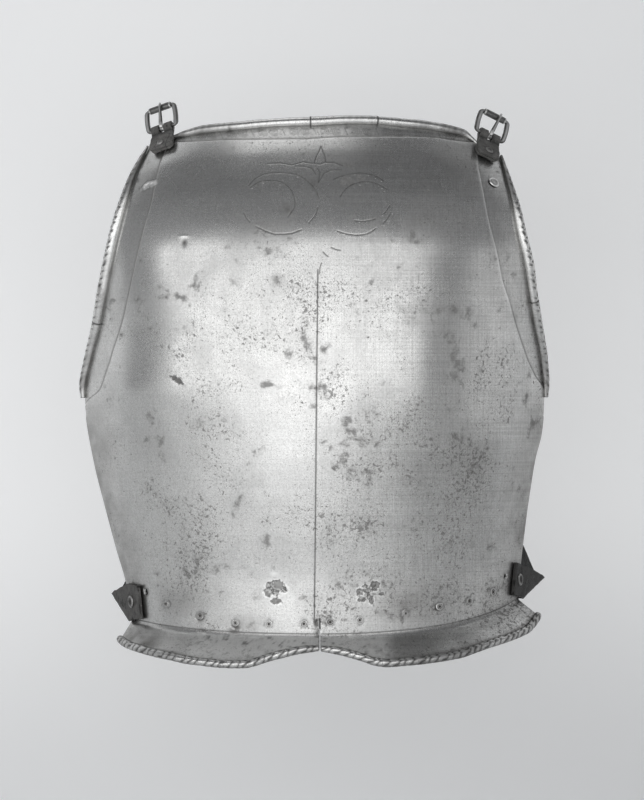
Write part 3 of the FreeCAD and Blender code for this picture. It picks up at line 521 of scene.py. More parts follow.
rust_spots = ((-24.4, 311.0, 2.8, 0.55), (-4.7, 329.4, 2.2, 0.5), (-32.0, 258.6, 3.6, 0.4),
              (-134.1, 245.7, 2.0, 0.6), (-131.0, 273.8, 1.2, 0.6), (-112.3, 246.7, 1.4, 0.55),
              (-116.9, 254.6, 1.3, 0.45), (-146.5, 219.8, 1.8, 0.5), (-158.0, 193.1, 1.4, 0.5),
              (-124.3, 223.9, 0.9, 0.6), (-94.9, 240.5, 0.7, 0.8), (129.3, 276.0, 1.7, 0.6),
              (98.1, 237.0, 2.8, 0.5), (143.3, 263.9, 1.8, 0.55), (131.4, 237.5, 1.2, 0.5),
              (117.9, 193.4, 1.5, 0.5), (136.9, 184.5, 1.3, 0.5), (85.5, 19.6, 3.8, 0.75),
              (61.4, 22.2, 4.0, 0.4), (86.6, 30.0, 1.5, 0.7), (-62.2, 5.2, 4.2, 0.75),
              (-88.1, 11.8, 3.2, 0.75), (-86.9, 1.2, 2.6, 0.6), (-119.7, 43.7, 1.4, 0.6),
              (-119.5, 34.8, 1.2, 0.5), (-46.6, 28.1, 2.4, 0.35), (-111.0, 22.0, 2.2, 0.5))
# Where the surface is darkened, the first patch being painted shade under the left strap: x, z,
# half width, half height, how much
darkened_patches = ((-135.0, -8.0, 22.0, 13.0, 0.7), (-104.0, 24.0, 20.0, 14.0, 0.34),
                (-60.0, 8.0, 26.0, 8.0, 0.2),
                (66.0, 21.0, 26.0, 15.0, 0.36), (138.0, 26.0, 16.0, 16.0, 0.3),
                (44.0, 26.0, 9.0, 12.0, 0.25), (100.0, 352.0, 34.0, 16.0, 0.35),
                (46.0, 350.0, 30.0, 12.0, 0.2), (96.0, 120.0, 40.0, 60.0, 0.14))
shoulder_dent = (-99.2, 287.9)
flake = [(-110.6, 189.6), (-105.5, 187.0), (-101.5, 184.6), (-97.7, 182.4)]
flake_middle = -104.0
shoulder_tear = [(-129.4, 328.2), (-125.5, 330.0), (-121.5, 330.6)]
tear_lip = [(-131.6, 328.8), (-127.5, 332.6), (-123.0, 333.6), (-118.4, 334.0)]
rivet_shares = (-0.70, -0.52, -0.355, -0.21, -0.065, 0.04, 0.155, 0.34, 0.49, 0.64, 0.78)
rivet_height, rivet_rise = 0.0065, 0.0125
rivet_rise_shares = ((-0.76, 1.0), (-0.70, 0.89), (-0.52, 0.365), (-0.355, 0.081),
                     (-0.21, 0.084), (-0.065, 0.138), (0.04, 0.241), (0.155, 0.311),
                     (0.34, 0.546), (0.49, 0.7), (0.64, 0.68), (0.78, 0.83), (0.84, 0.84))
hole_shares = {"left": (-0.828, 0.0665), "right": (0.8648, 0.0702)}


def rivet_level(across):
    """How high the row of lining rivets runs: it rises to both sides."""
    return (rivet_height + rivet_rise * read_curve(rivet_rise_shares, across)) / plate_height


def bell(distance, width):
    """1 at no distance, and almost nothing at twice the width or more, to both sides."""
    return np.exp(-(distance / width) ** 2)


def ellipse_reach(x, z, middle_x, middle_z, wide, high):
    """How far points are from the middle of an ellipse, where 1 is its rim."""
    return np.hypot((x - middle_x) / wide, (z - middle_z) / high)


def patch(face, middle_x, middle_z, wide, high):
    """A soft patch on the face, 1 in its middle, almost nothing at twice its half width."""
    return bell(ellipse_reach(face.x, face.z, middle_x, middle_z, wide, high), 1)


def raise_to(mark, amount):
    """Raise a mark to an amount wherever that is more."""
    np.maximum(mark, amount, out=mark)


def cloud_at(points, size, seed):
    """Smooth noise between -1 and 1 at points in metres."""
    shift = Vector((seed * 7.13, seed * 3.7, seed * 1.9))
    return np.array([noise.noise(Vector(p) / size + shift) for p in points])


def clouds_where(face, near, *layers):
    """Layers of noise, each (strength, size, seed), and 0 outside the points near by."""
    total = np.zeros(len(face.x))
    for strength, size, seed in layers:
        total[near] += strength * cloud_at(face.base[near], size, seed)
    return total


# The lines, how deep and how wide each is cut, how black it is, and how wide it is black
line_cuts = ((graved_lines, 0.12, 0.35, 0.78, 0.36), ([spine_line], 0.3, 0.45, 0.85, 0.45),
             (vine, 0.05, 0.35, 0.38, 0.33))


def cut_lines(face):
    """The graver's lines, the etched vine, the crease between body and flange, and painted shade
    along the flange's lower edge.
    """
    for lines, deep, width, black, black_width in line_cuts:
        gap = distance_to(lines, face.x, face.z)
        face.hump -= deep * bell(gap, width)
        raise_to(face.cut, black * bell(gap, black_width))
    gap = np.abs(face.level) * plate_height * 1000 - 0.6
    face.hump -= 0.2 * bell(gap, 0.5)
    raise_to(face.cut, 0.75 * bell(gap, 0.42))
    # Painted shade along the flange's lower edge, above its roll
    raise_to(face.grime, 0.8 * smooth_step((-0.72 - face.level) / 0.2))


border_drop = 0.85


def sink_borders(face):
    """The sunken borders: a step down, with a painted highlight along its crest and painted shade
    at its foot.
    """
    in_arm, in_neck = inside_border(face.across, face.level, face.x, face.z)
    arm_crest_highlight = np.where(face.x < 0, 0.2, 0.15 + 0.6 * smooth_step((face.z - 228) / 24))
    for depth, crest_highlight in ((in_arm, arm_crest_highlight), (in_neck, 0.45)):
        sunk = smooth_step(depth / 0.9 + 0.5)
        face.hump -= border_drop * sunk
        # Painted highlight along the crest, painted shade at the foot, and the sunk band a little
        # darker
        raise_to(face.worn, crest_highlight * bell(depth + 0.8, 0.8))
        raise_to(face.grime, (0.72 - 0.5 * crest_highlight) * bell(depth - 0.5, 1.1))
        raise_to(face.grime, 0.12 * sunk)


scoured_run = (-104.0, 58.0)


def scour(face):
    """Where rust was scoured off: the middle of the flange, and a ring round each flower of it."""
    start, end = scoured_run
    near = (face.level < -0.06) & (face.x > start - 2) & (face.x < end + 2)
    rough = clouds_where(face, near, (1.0, 0.0042, 81), (0.7, 0.0018, 82))
    stretch = smooth_step((face.x - start) / 16) * smooth_step((end - face.x) / 14) * near
    raise_to(face.scar, stretch * np.clip(0.75 + 0.4 * rough, 0, 1))
    raise_to(face.cut, 0.6 * stretch * np.clip(-2.2 * rough - 0.75, 0, 1))
    for ring in scoured_rings:
        far = ellipse_reach(face.x, face.z, *ring)
        rough = clouds_where(face, far < 1.7, (1.0, 0.0035, 5), (0.6, 0.0016, 6))
        rough = rough * smooth_step(1.5 - far)
        face.hump += 0.12 * rough
        raise_to(face.scar, smooth_step(1.5 - far) * np.clip(0.5 + 0.6 * rough, 0, 1))
        raise_to(face.cut, 0.8 * smooth_step(1.2 - far) * np.clip(-1.5 * rough - 0.5, 0, 1))


def rust(face):
    """The two flowers of rust: hollows with black, ragged rims, and the cracks from one."""
    near = np.zeros(len(face.x), bool)
    for middle_x, middle_z, wide, high in rust_hollows:
        near |= ellipse_reach(face.x, face.z, middle_x, middle_z, wide + 2.5, high + 2.5) < 1
    ragged = clouds_where(face, near, (0.45, 0.0019, 45), (0.2, 0.0009, 46))
    for hollow in rust_hollows:
        far = ellipse_reach(face.x, face.z, *hollow) / 1.32 + ragged * 1.3
        eaten = smooth_step((1.0 - far) * 4)
        face.hump -= 0.22 * eaten
        raise_to(face.grime, 0.84 * eaten)
        raise_to(face.cut, 0.75 * bell(far - 1.0, 0.16) * near)
        raise_to(face.worn, 0.9 * bell(far - 1.38, 0.2) * near)
    gap = distance_to(rust_cracks, face.x, face.z) + 2.4 * ragged
    raise_to(face.cut, 0.6 * bell(gap, 0.5))
    raise_to(face.worn, 0.9 * patch(face, -33.6, 44.8, 2.2, 2.0))


def darken_patches_and_sides(face):
    """Darkened patches, one of them painted shade under the left strap, the side edges darkened
    below the arms, and the small spots of rust.
    """
    darkened = np.zeros(len(face.x))
    for middle_x, middle_z, wide, high, strength in darkened_patches:
        raise_to(darkened, strength * patch(face, middle_x, middle_z, wide, high))
    sides = smooth_step((np.abs(face.across) - 0.68) / 0.3) * smooth_step((0.5 - face.level) / 0.1)
    raise_to(darkened, 0.46 * sides * (face.level > 0))
    cloudy = cloud_at(face.base, 0.016, 61) + 0.5 * cloud_at(face.base, 0.006, 62)
    raise_to(face.grime, darkened * np.clip(1 + 0.5 * cloudy, 0.3, 1.5))
    blotted = np.zeros(len(face.x))
    for middle_x, middle_z, size, strength in rust_spots:
        raise_to(blotted, strength * patch(face, middle_x, middle_z, 1.15 * size, 1.15 * size))
    near = blotted > 0.06
    uneven = np.clip(1.1 + clouds_where(face, near, (1.5, 0.0021, 51)), 0.1, 1.3)
    raise_to(face.grime, np.minimum(blotted * np.where(near, uneven, 1), 0.85))


def dent(face):
    """The dent at the left shoulder, with the steel pushed up along its upper edge: a painted
    highlight along that edge and painted shade inside the dent.
    """
    x, z = shoulder_dent
    face.hump -= 0.34 * patch(face, x, z - 0.8, 1.8, 3.2)
    face.hump += 0.16 * patch(face, x, z + 3.4, 3.6, 1.1)
    raise_to(face.worn, 0.85 * patch(face, x + 0.7, z + 3.7, 3.2, 0.9))
    raise_to(face.grime, 0.85 * patch(face, x + 0.2, z - 1.3, 1.7, 2.4))


def flake_off(face):
    """Two ragged strokes: the flake, dark with a black rim, and the shoulder's tear, bright."""
    for line, half_width, depth, taper, share, mark, rim in (
            (flake, 1.7, 0.3, 0.055, 0.8, face.grime, face.cut),
            (shoulder_tear, 1.5, 0.15, 0.0, 0.85, face.worn, face.grime)):
        gap = distance_to([line], face.x, face.z)
        near = gap < 5
        gap += clouds_where(face, near, (1.1, 0.0022, 41), (0.5, 0.0009, 42))
        gap += taper * (face.x - flake_middle) ** 2
        inside = smooth_step((half_width - gap) / 0.6)
        face.hump -= depth * inside
        raise_to(mark, share * inside)
        raise_to(rim, 0.7 * bell(gap - 1.6, 0.4) * near)


def lift_lip(face):
    """The lip of the shoulder's tear, which stands off the plate and ends in a black edge."""
    below = np.interp(face.x, *zip(*tear_lip)) - face.z
    lifted = smooth_step((face.x + 132.5) / 3) * smooth_step((-116.5 - face.x) / 4) * (below > 0)
    face.hump += 1.2 * lifted * np.clip(1 - below / 4.2, 0, 1)
    raise_to(face.worn, 0.7 * lifted * (below < 3.4) * (below > 0.4))
    raise_to(face.cut, 0.85 * bell(distance_to([tear_lip], face.x, face.z), 0.42))


def ring_fittings(face):
    """The hammered ring round each lining rivet, and the dark ring round each side hole."""
    for share in rivet_shares:
        middle = on_plate(share, rivet_level(share)) * 1000
        far = np.hypot(face.x - middle[0], face.z - middle[2])
        face.hump -= 0.15 * bell(far - 3.2, 0.8)
        raise_to(face.cut, 0.45 * bell(far - 3.15, 0.5))
    for share, height in hole_shares.values():
        middle = on_plate(share, height) * 1000
        far = np.linalg.norm(face.base * 1000 - middle, axis=1)
        face.hump += 0.05 * bell(far - 2.7, 0.6)
        raise_to(face.grime, 0.6 * bell(far - 3.2, 1.2))


torn_x = -2.2


def work_split(face):
    """Above the split in the flange: a bright lip on its right, and a torn edge on its left."""
    x, z = face.x, face.z
    face.hump += 0.5 * np.exp(-np.maximum(x, 0) / 4.5) * (x > -0.05) * smooth_step((14 - z) / 10)
    raise_to(face.worn, bell(x - 0.8, 0.7) * smooth_step((15 - z) / 3))
    near = (np.abs(x - torn_x) < 8) & (z > -3) & (z < 20)
    blot = clouds_where(face, near, (2.0, 0.004, 71), (0.8, 0.0014, 72))
    raise_to(face.cut, 0.8 * bell(x - torn_x + blot, 1.6) * near
             * smooth_step((14 - z + 2 * blot) / 4) * (z > -2))


def finish_plate(across, level):
    """Places on the finished outer face, and how cut, scarred, worn and grimy each one is, where
    the wear mark also holds painted highlights and the grime mark painted shade.
    """
    base = on_plate(across, level)
    marks = {label: np.zeros(len(base)) for label in ("cut", "scar", "worn", "grime")}
    face = SimpleNamespace(across=across, level=level, base=base, x=base[:, 0] * 1000,
                           z=base[:, 2] * 1000, **marks)
    face.hump = 0.28 * cloud_at(base, 0.06, 1) + 0.1 * cloud_at(base, 0.021, 2)
    for work in (cut_lines, sink_borders, scour, rust, darken_patches_and_sides, dent, flake_off, lift_lip,
                 ring_fittings, work_split):
        work(face)
    return base + off_plate(across, level) * (face.hump / 1000)[:, None], marks


# The sheet is a grid of cells, and those that a cut, a step or a scar crosses are finer
cells_across = 236
cells_up_body = 206
cells_up_flange = 18
finer = 4
level_rows = np.concatenate([np.linspace(-1, 0, cells_up_flange + 1)[:-1],
                             np.linspace(0, 1, cells_up_body + 1)])
cells_up = len(level_rows) - 1


def grid_place(i, j):
    """across and level at a place counted in fine steps."""
    i, j = np.asarray(i, float) / finer, np.asarray(j, float) / finer
    row = np.minimum(j.astype(int), cells_up - 1)
    part = j - row
    level = level_rows[row] * (1 - part) + level_rows[row + 1] * part
    return -1 + 2 * i / cells_across, level


coarse_i, coarse_j = np.meshgrid(np.arange(cells_across), np.arange(cells_up), indexing="ij")
middle_across, middle_level = grid_place(finer * (coarse_i.ravel() + 0.5),
                                         finer * (coarse_j.ravel() + 0.5))
middles = on_plate(middle_across, middle_level) * 1000
mx, mz = middles[:, 0], middles[:, 2]
arm_depth, neck_depth = inside_border(middle_across, middle_level, mx, mz)
needs_finer = distance_to(graved_lines + vine + [spine_line, flake, shoulder_tear,
                                                   tear_lip], mx, mz) < 1.9
needs_finer |= (np.abs(arm_depth) < 1.5) | (np.abs(neck_depth) < 1.5)
needs_finer |= (np.abs(middle_level) * plate_height * 1000 < 2.0)
for ring in scoured_rings:
    needs_finer |= ellipse_reach(mx, mz, *ring) < 1.3
for middle_x, middle_z, size, strength in rust_spots:
    needs_finer |= np.hypot(mx - middle_x, mz - middle_z) < 1.3 * size
needs_finer |= np.hypot(mx - shoulder_dent[0], mz - shoulder_dent[1]) < 7
needs_finer = needs_finer.reshape(cells_across, cells_up)

fine_columns = cells_across * finer + 1
fine_rows = cells_up * finer + 1
used = np.zeros((fine_columns, fine_rows), bool)
used[::finer, ::finer] = True
for i, j in zip(*np.nonzero(needs_finer)):
    used[i * finer:(i + 1) * finer + 1, j * finer:(j + 1) * finer + 1] = True
number = np.full(used.shape, -1)
used_i, used_j = np.nonzero(used)
number[used_i, used_j] = np.arange(len(used_i))
outer_places, plate_marks = finish_plate(*grid_place(used_i, used_j))

outer_faces = []
for i in range(cells_across):
    for j in range(cells_up):
        a, b = i * finer, j * finer
        if needs_finer[i, j]:
            block = number[a:a + finer + 1, b:b + finer + 1]
            for p in range(finer):
                for q in range(finer):
                    outer_faces.append((block[p, q], block[p + 1, q], block[p + 1, q + 1],
                                        block[p, q + 1]))
        else:
            ring = [(a + k, b) for k in range(finer)]
            ring += [(a + finer, b + k) for k in range(finer)]
            ring += [(a + finer - k, b + finer) for k in range(finer)]
            ring += [(a, b + finer - k) for k in range(finer)]
            outer_faces.append(tuple(number[p] for p in ring if number[p] >= 0))

# The inner face is plainer, and rims join the two faces all round
inner_every = 4
inner_columns = list(range(0, cells_across + 1, inner_every))
inner_rows = sorted(set(range(0, cells_up + 1, inner_every)) | {cells_up_flange, cells_up})
inner_start = len(used_i)
inner_i, inner_j = np.meshgrid(inner_columns, inner_rows, indexing="ij")
inner_across, inner_level = grid_place(finer * inner_i.ravel(), finer * inner_j.ravel())
inner_places = (on_plate(inner_across, inner_level)
                - off_plate(inner_across, inner_level) * plate_thickness)
inner_places += (off_plate(inner_across, inner_level)
                 * 0.00025 * cloud_at(inner_places, 0.05, 9)[:, None])
inner_number = inner_start + np.arange(len(inner_places)).reshape(inner_i.shape)
inner_faces = []
for p in range(len(inner_columns) - 1):
    for q in range(len(inner_rows) - 1):
        inner_faces.append((inner_number[p, q], inner_number[p, q + 1],
                            inner_number[p + 1, q + 1], inner_number[p + 1, q]))
rim_faces = []
for q in range(len(inner_rows) - 1):
    for p, fixed, flip in ((0, 0, False), (len(inner_columns) - 1, fine_columns - 1, True)):
        low, high = inner_rows[q] * finer, inner_rows[q + 1] * finer
        run = [number[fixed, k] for k in range(low, high + 1) if number[fixed, k] >= 0]
        face = run + [inner_number[p, q + 1], inner_number[p, q]]
        rim_faces.append(tuple(face if flip else face[::-1])[::-1])
for p in range(len(inner_columns) - 1):
    for q, fixed, flip in ((0, 0, True), (len(inner_rows) - 1, fine_rows - 1, False)):
        low, high = inner_columns[p] * finer, inner_columns[p + 1] * finer
        run = [number[k, fixed] for k in range(low, high + 1) if number[k, fixed] >= 0]
        face = run + [inner_number[p + 1, q], inner_number[p, q]]
        rim_faces.append(tuple(face if flip else face[::-1])[::-1])

plate_mesh = bpy.data.meshes.new("forged_plate")
plate_mesh.from_pydata(np.concatenate([outer_places, inner_places]).tolist(), [],
                       outer_faces + inner_faces + rim_faces)


def keep_marks(mesh, **marks):
    """Store how cut, scarred, worn or grimy each point is, for the finish to read; the wear mark
    also carries painted highlights and the grime mark painted shade.
    """
    count = len(mesh.vertices)
    for label, values in marks.items():
        field = mesh.attributes.new(label, "FLOAT", "POINT")
        whole = np.zeros(count)
        whole[:len(values)] = values
        field.data.foreach_set("value", whole)


keep_marks(plate_mesh, **plate_marks)
plate_mesh.polygons.foreach_set("use_smooth", [True] * len(outer_faces + inner_faces)
                                + [False] * len(rim_faces))
plate = bpy.data.objects.new("forged_plate", plate_mesh)
bpy.context.collection.objects.link(plate)


def pin_cutter(cutter, place, axis, radius, length):
    """Add a round cutter to a mesh being built."""
    turn = Vector(axis).to_track_quat("Z", "Y").to_matrix().to_4x4()
    bmesh.ops.create_cone(cutter, cap_ends=True, segments=28, radius1=radius, radius2=radius,
                          depth=length, matrix=Matrix.Translation(place) @ turn)


hole_radius, hole_length = 0.0022, 0.012
split_size = (0.0006, 0.09, 0.05)
split_middle = (0.0, -0.125, -0.013)
cutter_build = bmesh.new()
for share, height in hole_shares.values():
    pin_cutter(cutter_build, on_plate(share, height), off_plate(share, height), hole_radius,
               hole_length)
for corner in bmesh.ops.create_cube(cutter_build, size=1.0)["verts"]:
    corner.co = [place * size + middle
                 for place, size, middle in zip(corner.co, split_size, split_middle)]
cutter_mesh = bpy.data.meshes.new("plate_cutter")
cutter_build.to_mesh(cutter_mesh)
cutter_build.free()
cutter = bpy.data.objects.new("plate_cutter", cutter_mesh)
bpy.context.collection.objects.link(cutter)
cutting = plate.modifiers.new("holes_and_split", "BOOLEAN")
cutting.object = cutter
cutting.operation = "DIFFERENCE"
cutting.solver = "EXACT"
bpy.context.view_layer.update()
cut_plate = bpy.data.meshes.new_from_object(
    plate.evaluated_get(bpy.context.evaluated_depsgraph_get()))
plate.modifiers.clear()
plate.data = cut_plate
bpy.data.objects.remove(cutter)


def read_mark(tree, label):
    """One of the marks stored on a piece's points."""
    node = tree.nodes.new("ShaderNodeAttribute")
    node.attribute_name = label
    return node.outputs["Fac"]


scoured_colour = (0.86, 0.86, 0.85, 1)
rubbed_and_highlight_colour = (0.9, 0.9, 0.89, 1)
cut_colour = (0.035, 0.034, 0.032, 1)


def steel_finish(name, bright, dark, pits, stains, hatch, roughness):
    """A steel or iron surface: its colours, how far it is pitted and stained, how rough."""
    material = bpy.data.materials.new(name)
    material.use_nodes = True
    tree = material.node_tree
    face = tree.nodes["Principled BSDF"]
    face.inputs["Metallic"].default_value = 1.0
    groups = {}
    for label, group, amount in (("pits", pitting, pits), ("stains", staining, stains),
                                 ("hatch", hatching, hatch)):
        node = tree.nodes.new("ShaderNodeGroup")
        node.node_tree = group
        node.inputs["Amount"].default_value = amount
        groups[label] = node
    colour = blend_colours(tree, groups["stains"].outputs["Cloud"], bright,
                           tuple(0.86 * c for c in bright[:3]) + (1,))
    cut_mark, scar_mark = read_mark(tree, "cut"), read_mark(tree, "scar")
    grime_and_shade_mark = read_mark(tree, "grime")
    # The grime mark also lays painted shade, and the rubbed colour painted highlights
    for share, strength, layer_colour in (
            (groups["hatch"].outputs["Tone"], 0.42, dark),
            (groups["hatch"].outputs["Grain"], 0.2, dark),
            (groups["stains"].outputs["Stain"], 0.55, dark),
            (groups["pits"].outputs["Pits"], 0.62, dark), (grime_and_shade_mark, 1.0, dark),
            (scar_mark, 0.7, scoured_colour), (read_mark(tree, "worn"), 0.8, rubbed_and_highlight_colour),
            (cut_mark, 1.0, cut_colour)):
        colour = blend_colours(tree, reckon(tree, "MULTIPLY", share, strength), colour,
                               layer_colour)
    tree.links.new(colour, face.inputs["Base Color"])
    dull = reckon(tree, "MAXIMUM", groups["pits"].outputs["Pits"],
                  groups["stains"].outputs["Stain"])
    dull = reckon(tree, "MAXIMUM", dull, cut_mark)
    dull = reckon(tree, "MAXIMUM", dull, grime_and_shade_mark)
    rough = reckon(tree, "ADD", remap(tree, dull, 0.0, 1.0, roughness, roughness + 0.28),
                   reckon(tree, "MULTIPLY", groups["stains"].outputs["Cloud"], 0.06))
    rough = reckon(tree, "ADD", rough, reckon(tree, "MULTIPLY", scar_mark, 0.3))
    tree.links.new(rough, face.inputs["Roughness"])
    raised = tree.nodes.new("ShaderNodeBump")
    raised.inputs["Strength"].default_value = 0.22
    raised.inputs["Distance"].default_value = 0.0002
    height = reckon(tree, "ADD", groups["pits"].outputs["Height"],
                    reckon(tree, "MULTIPLY", groups["hatch"].outputs["Height"], 0.6))
    tree.links.new(height, raised.inputs["Height"])
    tree.links.new(raised.outputs["Normal"], face.inputs["Normal"])
    return material


plate_steel = steel_finish("plate_steel", (0.74, 0.74, 0.73, 1), (0.13, 0.125, 0.12, 1),
                           0.5, 0.4, 0.5, 0.24)
plate.data.materials.clear()
plate.data.materials.append(plate_steel)
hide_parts("back_plate")
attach(plate, "plate")

# The turned edges: the sheet's own rim, rolled outward over an iron wire.
# Their rolls are filed with slanting notches, like rope, close together along the flange.
roll_lift = 0.00045
ring_spacing = 0.00065


def roll_run(across, level, lift, spacing):
    """Even points along an edge, with the directions out of the plate and along the edge."""
    line = on_plate(across, level)
    out = off_plate(across, level)
    centre = line + out * lift
    steps = np.linalg.norm(np.diff(centre, axis=0), axis=1)
    run = np.concatenate([[0], np.cumsum(steps)])
    count = int(run[-1] / spacing)
    even = np.linspace(0, run[-1], count + 1)
    centre = np.stack([np.interp(even, run, centre[:, k]) for k in range(3)], axis=1)
    out = np.stack([np.interp(even, run, out[:, k]) for k in range(3)], axis=1)
    along = np.gradient(centre, axis=0)
    along /= np.linalg.norm(along, axis=1, keepdims=True)
    out -= along * np.sum(out * along, axis=1, keepdims=True)
    out /= np.linalg.norm(out, axis=1, keepdims=True)
    return centre, out, along, even / even[-1], even


def face_outward(mesh):
    """Turn every face of a closed mesh so that it looks outward."""
    build = bmesh.new()
    build.from_mesh(mesh)
    bmesh.ops.recalc_face_normals(build, faces=build.faces)
    build.to_mesh(mesh)
    build.free()


def tube_faces(rings, round_count, looped=False):
    """Squares between rings of points, with both ends closed, or run round in a loop."""
    faces = [(k * round_count + m, k * round_count + (m + 1) % round_count,
              (k + 1) % rings * round_count + (m + 1) % round_count,
              (k + 1) % rings * round_count + m)
             for k in range(rings if looped else rings - 1) for m in range(round_count)]
    if not looped:
        faces += [tuple(range(round_count))[::-1],
                  tuple((rings - 1) * round_count + m for m in range(round_count))]
    return faces


def finished_piece(name, mesh, materials, node, body):
    """Give a mesh its finish, hide the drawn part it stands for, and attach it to the body it
    moves with.
    """
    for material in materials:
        mesh.materials.append(material)
    piece = bpy.data.objects.new(name, mesh)
    bpy.context.collection.objects.link(piece)
    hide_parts(node)
    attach(piece, body)


def closed_tube(name, points, round_count):
    """A mesh of a closed tube from its rings of points, round all along and flat at its ends."""
    mesh = bpy.data.meshes.new(name)
    faces = tube_faces(len(points), round_count)
    mesh.from_pydata(points.reshape(-1, 3).tolist(), [], faces)
    mesh.polygons.foreach_set("use_smooth", [True] * (len(faces) - 2) + [False] * 2)
    return mesh


def roped_roll(name, across, level, radius, swell, pitch, twist, notch, sharp, laps, darker_ends,
               darker_runs=()):
    """A rolled edge with notches: pitch between them, twist in turns, notch as a share."""
    centre, out, along, part, run = roll_run(across, level, roll_lift, ring_spacing)
    side = np.cross(along, out)
    round_count = 30
    turn = np.linspace(0, 2 * np.pi, round_count, endpoint=False)
    grown = radius * read_curve(swell, part)
    drift = np.interp(run, np.linspace(0, run[-1], 60),
                      0.35 * np.sin(np.arange(60) * 1.7) * np.cos(np.arange(60) * 0.61))
    phase = run[:, None] / pitch + drift[:, None] + twist * turn[None, :] / (2 * np.pi)
    valley = (1 - np.abs(np.sin(np.pi * phase))) ** sharp
    ridge = np.abs(np.sin(np.pi * phase)) ** 2
    deep = notch(turn[None, :], part[:, None])
    reach = grown[:, None] * (1 - deep * valley)
    cut_field = np.clip(valley * (deep - 0.01) * 9.0, 0, 0.8)
    worn_field = ridge * np.clip(np.cos(turn), 0, 1)[None, :] * 0.35 + 0 * reach
    for lap_share, lap_step in laps:
        at = (part[:, None] - lap_share) * run[-1]
        reach = reach + lap_step * (at > 0) * np.exp(-np.abs(at) / 0.02)
        cut_field = np.maximum(cut_field, bell(at, 0.0006))
    from_face = np.abs(np.pi - np.abs(turn - np.pi))
    cut_field = np.maximum(cut_field, 0.75 * bell(from_face - 1.76, 0.13)[None, :])
    wobble = cloud_at(centre, 0.012, 12)
    reach = reach * (1 + 0.05 * wobble[:, None])
    points = (centre[:, None, :] + out[:, None, :] * (reach * np.cos(turn))[..., None]
              + side[:, None, :] * (reach * np.sin(turn))[..., None])
    mesh = closed_tube(name, points, round_count)
    # Painted shade over the roll's inner half, which turns back into the plate
    roll_shade_and_darkening = np.clip(-np.cos(turn), 0, 1)[None, :] * 0.5 + 0 * reach
    # The roll is also darker towards its ends and along some runs
    ends = 1 - smooth_step(np.minimum(part, 1 - part) / 0.33)
    roll_shade_and_darkening = np.maximum(roll_shade_and_darkening, darker_ends * ends[:, None] * np.clip(0.8 + wobble, 0, 1)[:, None])
    for run_middle, run_half, strength in darker_runs:
        darkened = strength * bell(part - run_middle, run_half)
        roll_shade_and_darkening = np.maximum(roll_shade_and_darkening, (darkened * np.clip(0.9 + wobble, 0, 1))[:, None])
    keep_marks(mesh, cut=cut_field.ravel(), worn=worn_field.ravel(), grime=roll_shade_and_darkening.ravel(),
               scar=np.zeros(reach.size))
    face_outward(mesh)
    finished_piece(name, mesh, (plate_steel,), "back_plate", "plate")


def outer_slashes(hand, inward):
    """Notches on the outer part of an arm's roll, so far inward, and faint ones over its face."""
    def depth(turn, part):
        return 0.01 + 0.2 * smooth_step((hand * np.sin(turn) + inward) / 0.55) + 0 * part
    return depth


def rope_cuts(turn, part):
    """The deeper cuts of the rope along the flange."""
    return 0.15 + 0 * turn * part


def neck_notches(turn, part):
    """Notches only along the neck roll's top."""
    return 0.12 * np.clip(-np.sin(turn) * 1.4 - 0.2, 0, 1) + 0 * part


even_swell = ((0, 0.85), (0.02, 1), (0.93, 1), (1, 0.72))
neck_swell = ((0, 0.2), (0.035, 0.4), (0.075, 0.78), (0.14, 0.97), (0.27, 1), (0.85, 1),
              (0.925, 0.84), (0.965, 0.42), (1, 0.2))
arm_swell = ((0, 0.45), (0.05, 0.66), (0.2, 0.82), (0.5, 0.95), (0.7, 0.84), (0.86, 0.54),
             (0.95, 0.36), (1, 0.22))
roll_samples = 160
neck_run = np.linspace(-0.87, 0.87, roll_samples)
arm_levels = np.linspace(0.458, 1.0, roll_samples)
flange_runs = {-1: np.linspace(-1, -0.006, roll_samples), 1: np.linspace(1, 0.006, roll_samples)}
beside, along_top = np.ones(roll_samples), np.ones(roll_samples)
roped_roll("neck_roll", neck_run, along_top, 0.0034, neck_swell, 0.0054, 1, neck_notches, 2.0,
           ((0.455, 0.0003), (0.655, -0.0003)), 0.72)
roped_roll("left_arm_roll", -beside, arm_levels, 0.0044, arm_swell, 0.006, -2.6,
           outer_slashes(-1, 0.62), 3.4, ((0.3, 0.0002),), 0.72)
roped_roll("right_arm_roll", beside, arm_levels, 0.0044, arm_swell, 0.006, 2.6,
           outer_slashes(1, 0.82), 3.0, ((0.4, -0.0004),), 0.72)
for name, hand, darker_runs in (("left_flange_roll", -1, ((0.0, 0.32, 0.62), (0.95, 0.06, 0.7))),
                              ("right_flange_roll", 1, ((0.0, 0.2, 0.5), (0.59, 0.13, 0.62)))):
    roped_roll(name, flange_runs[hand], -beside, 0.0031, even_swell, 0.0062, 2.4, rope_cuts, 2.6,
               (), 0.0, darker_runs)

# The wires inside the rolls, drawn iron, round and a little uneven. They run inside the rolls
# from end to end, and no more than their ends could ever be seen.
wire_iron = steel_finish("wire_iron", (0.3, 0.29, 0.28, 1), (0.08, 0.07, 0.065, 1), 0.7, 0.8,
                         0.0, 0.45)
wire_half = 0.00085
wire_spacing = 0.003


def hidden_wire(name, across, level, node):
    """A wire inside a roll, along the same edge of the plate."""
    centre, out, along = roll_run(across, level, roll_lift, wire_spacing)[:3]
    side = np.cross(along, out)
    round_count = 10
    turn = np.linspace(0, 2 * np.pi, round_count, endpoint=False)
    points = (centre[:, None, :] + wire_half * (out[:, None, :] * np.cos(turn)[:, None]
                                                + side[:, None, :] * np.sin(turn)[:, None]))
    mesh = closed_tube(name, points, round_count)
    face_outward(mesh)
    finished_piece(name, mesh, (wire_iron,), node, "plate")


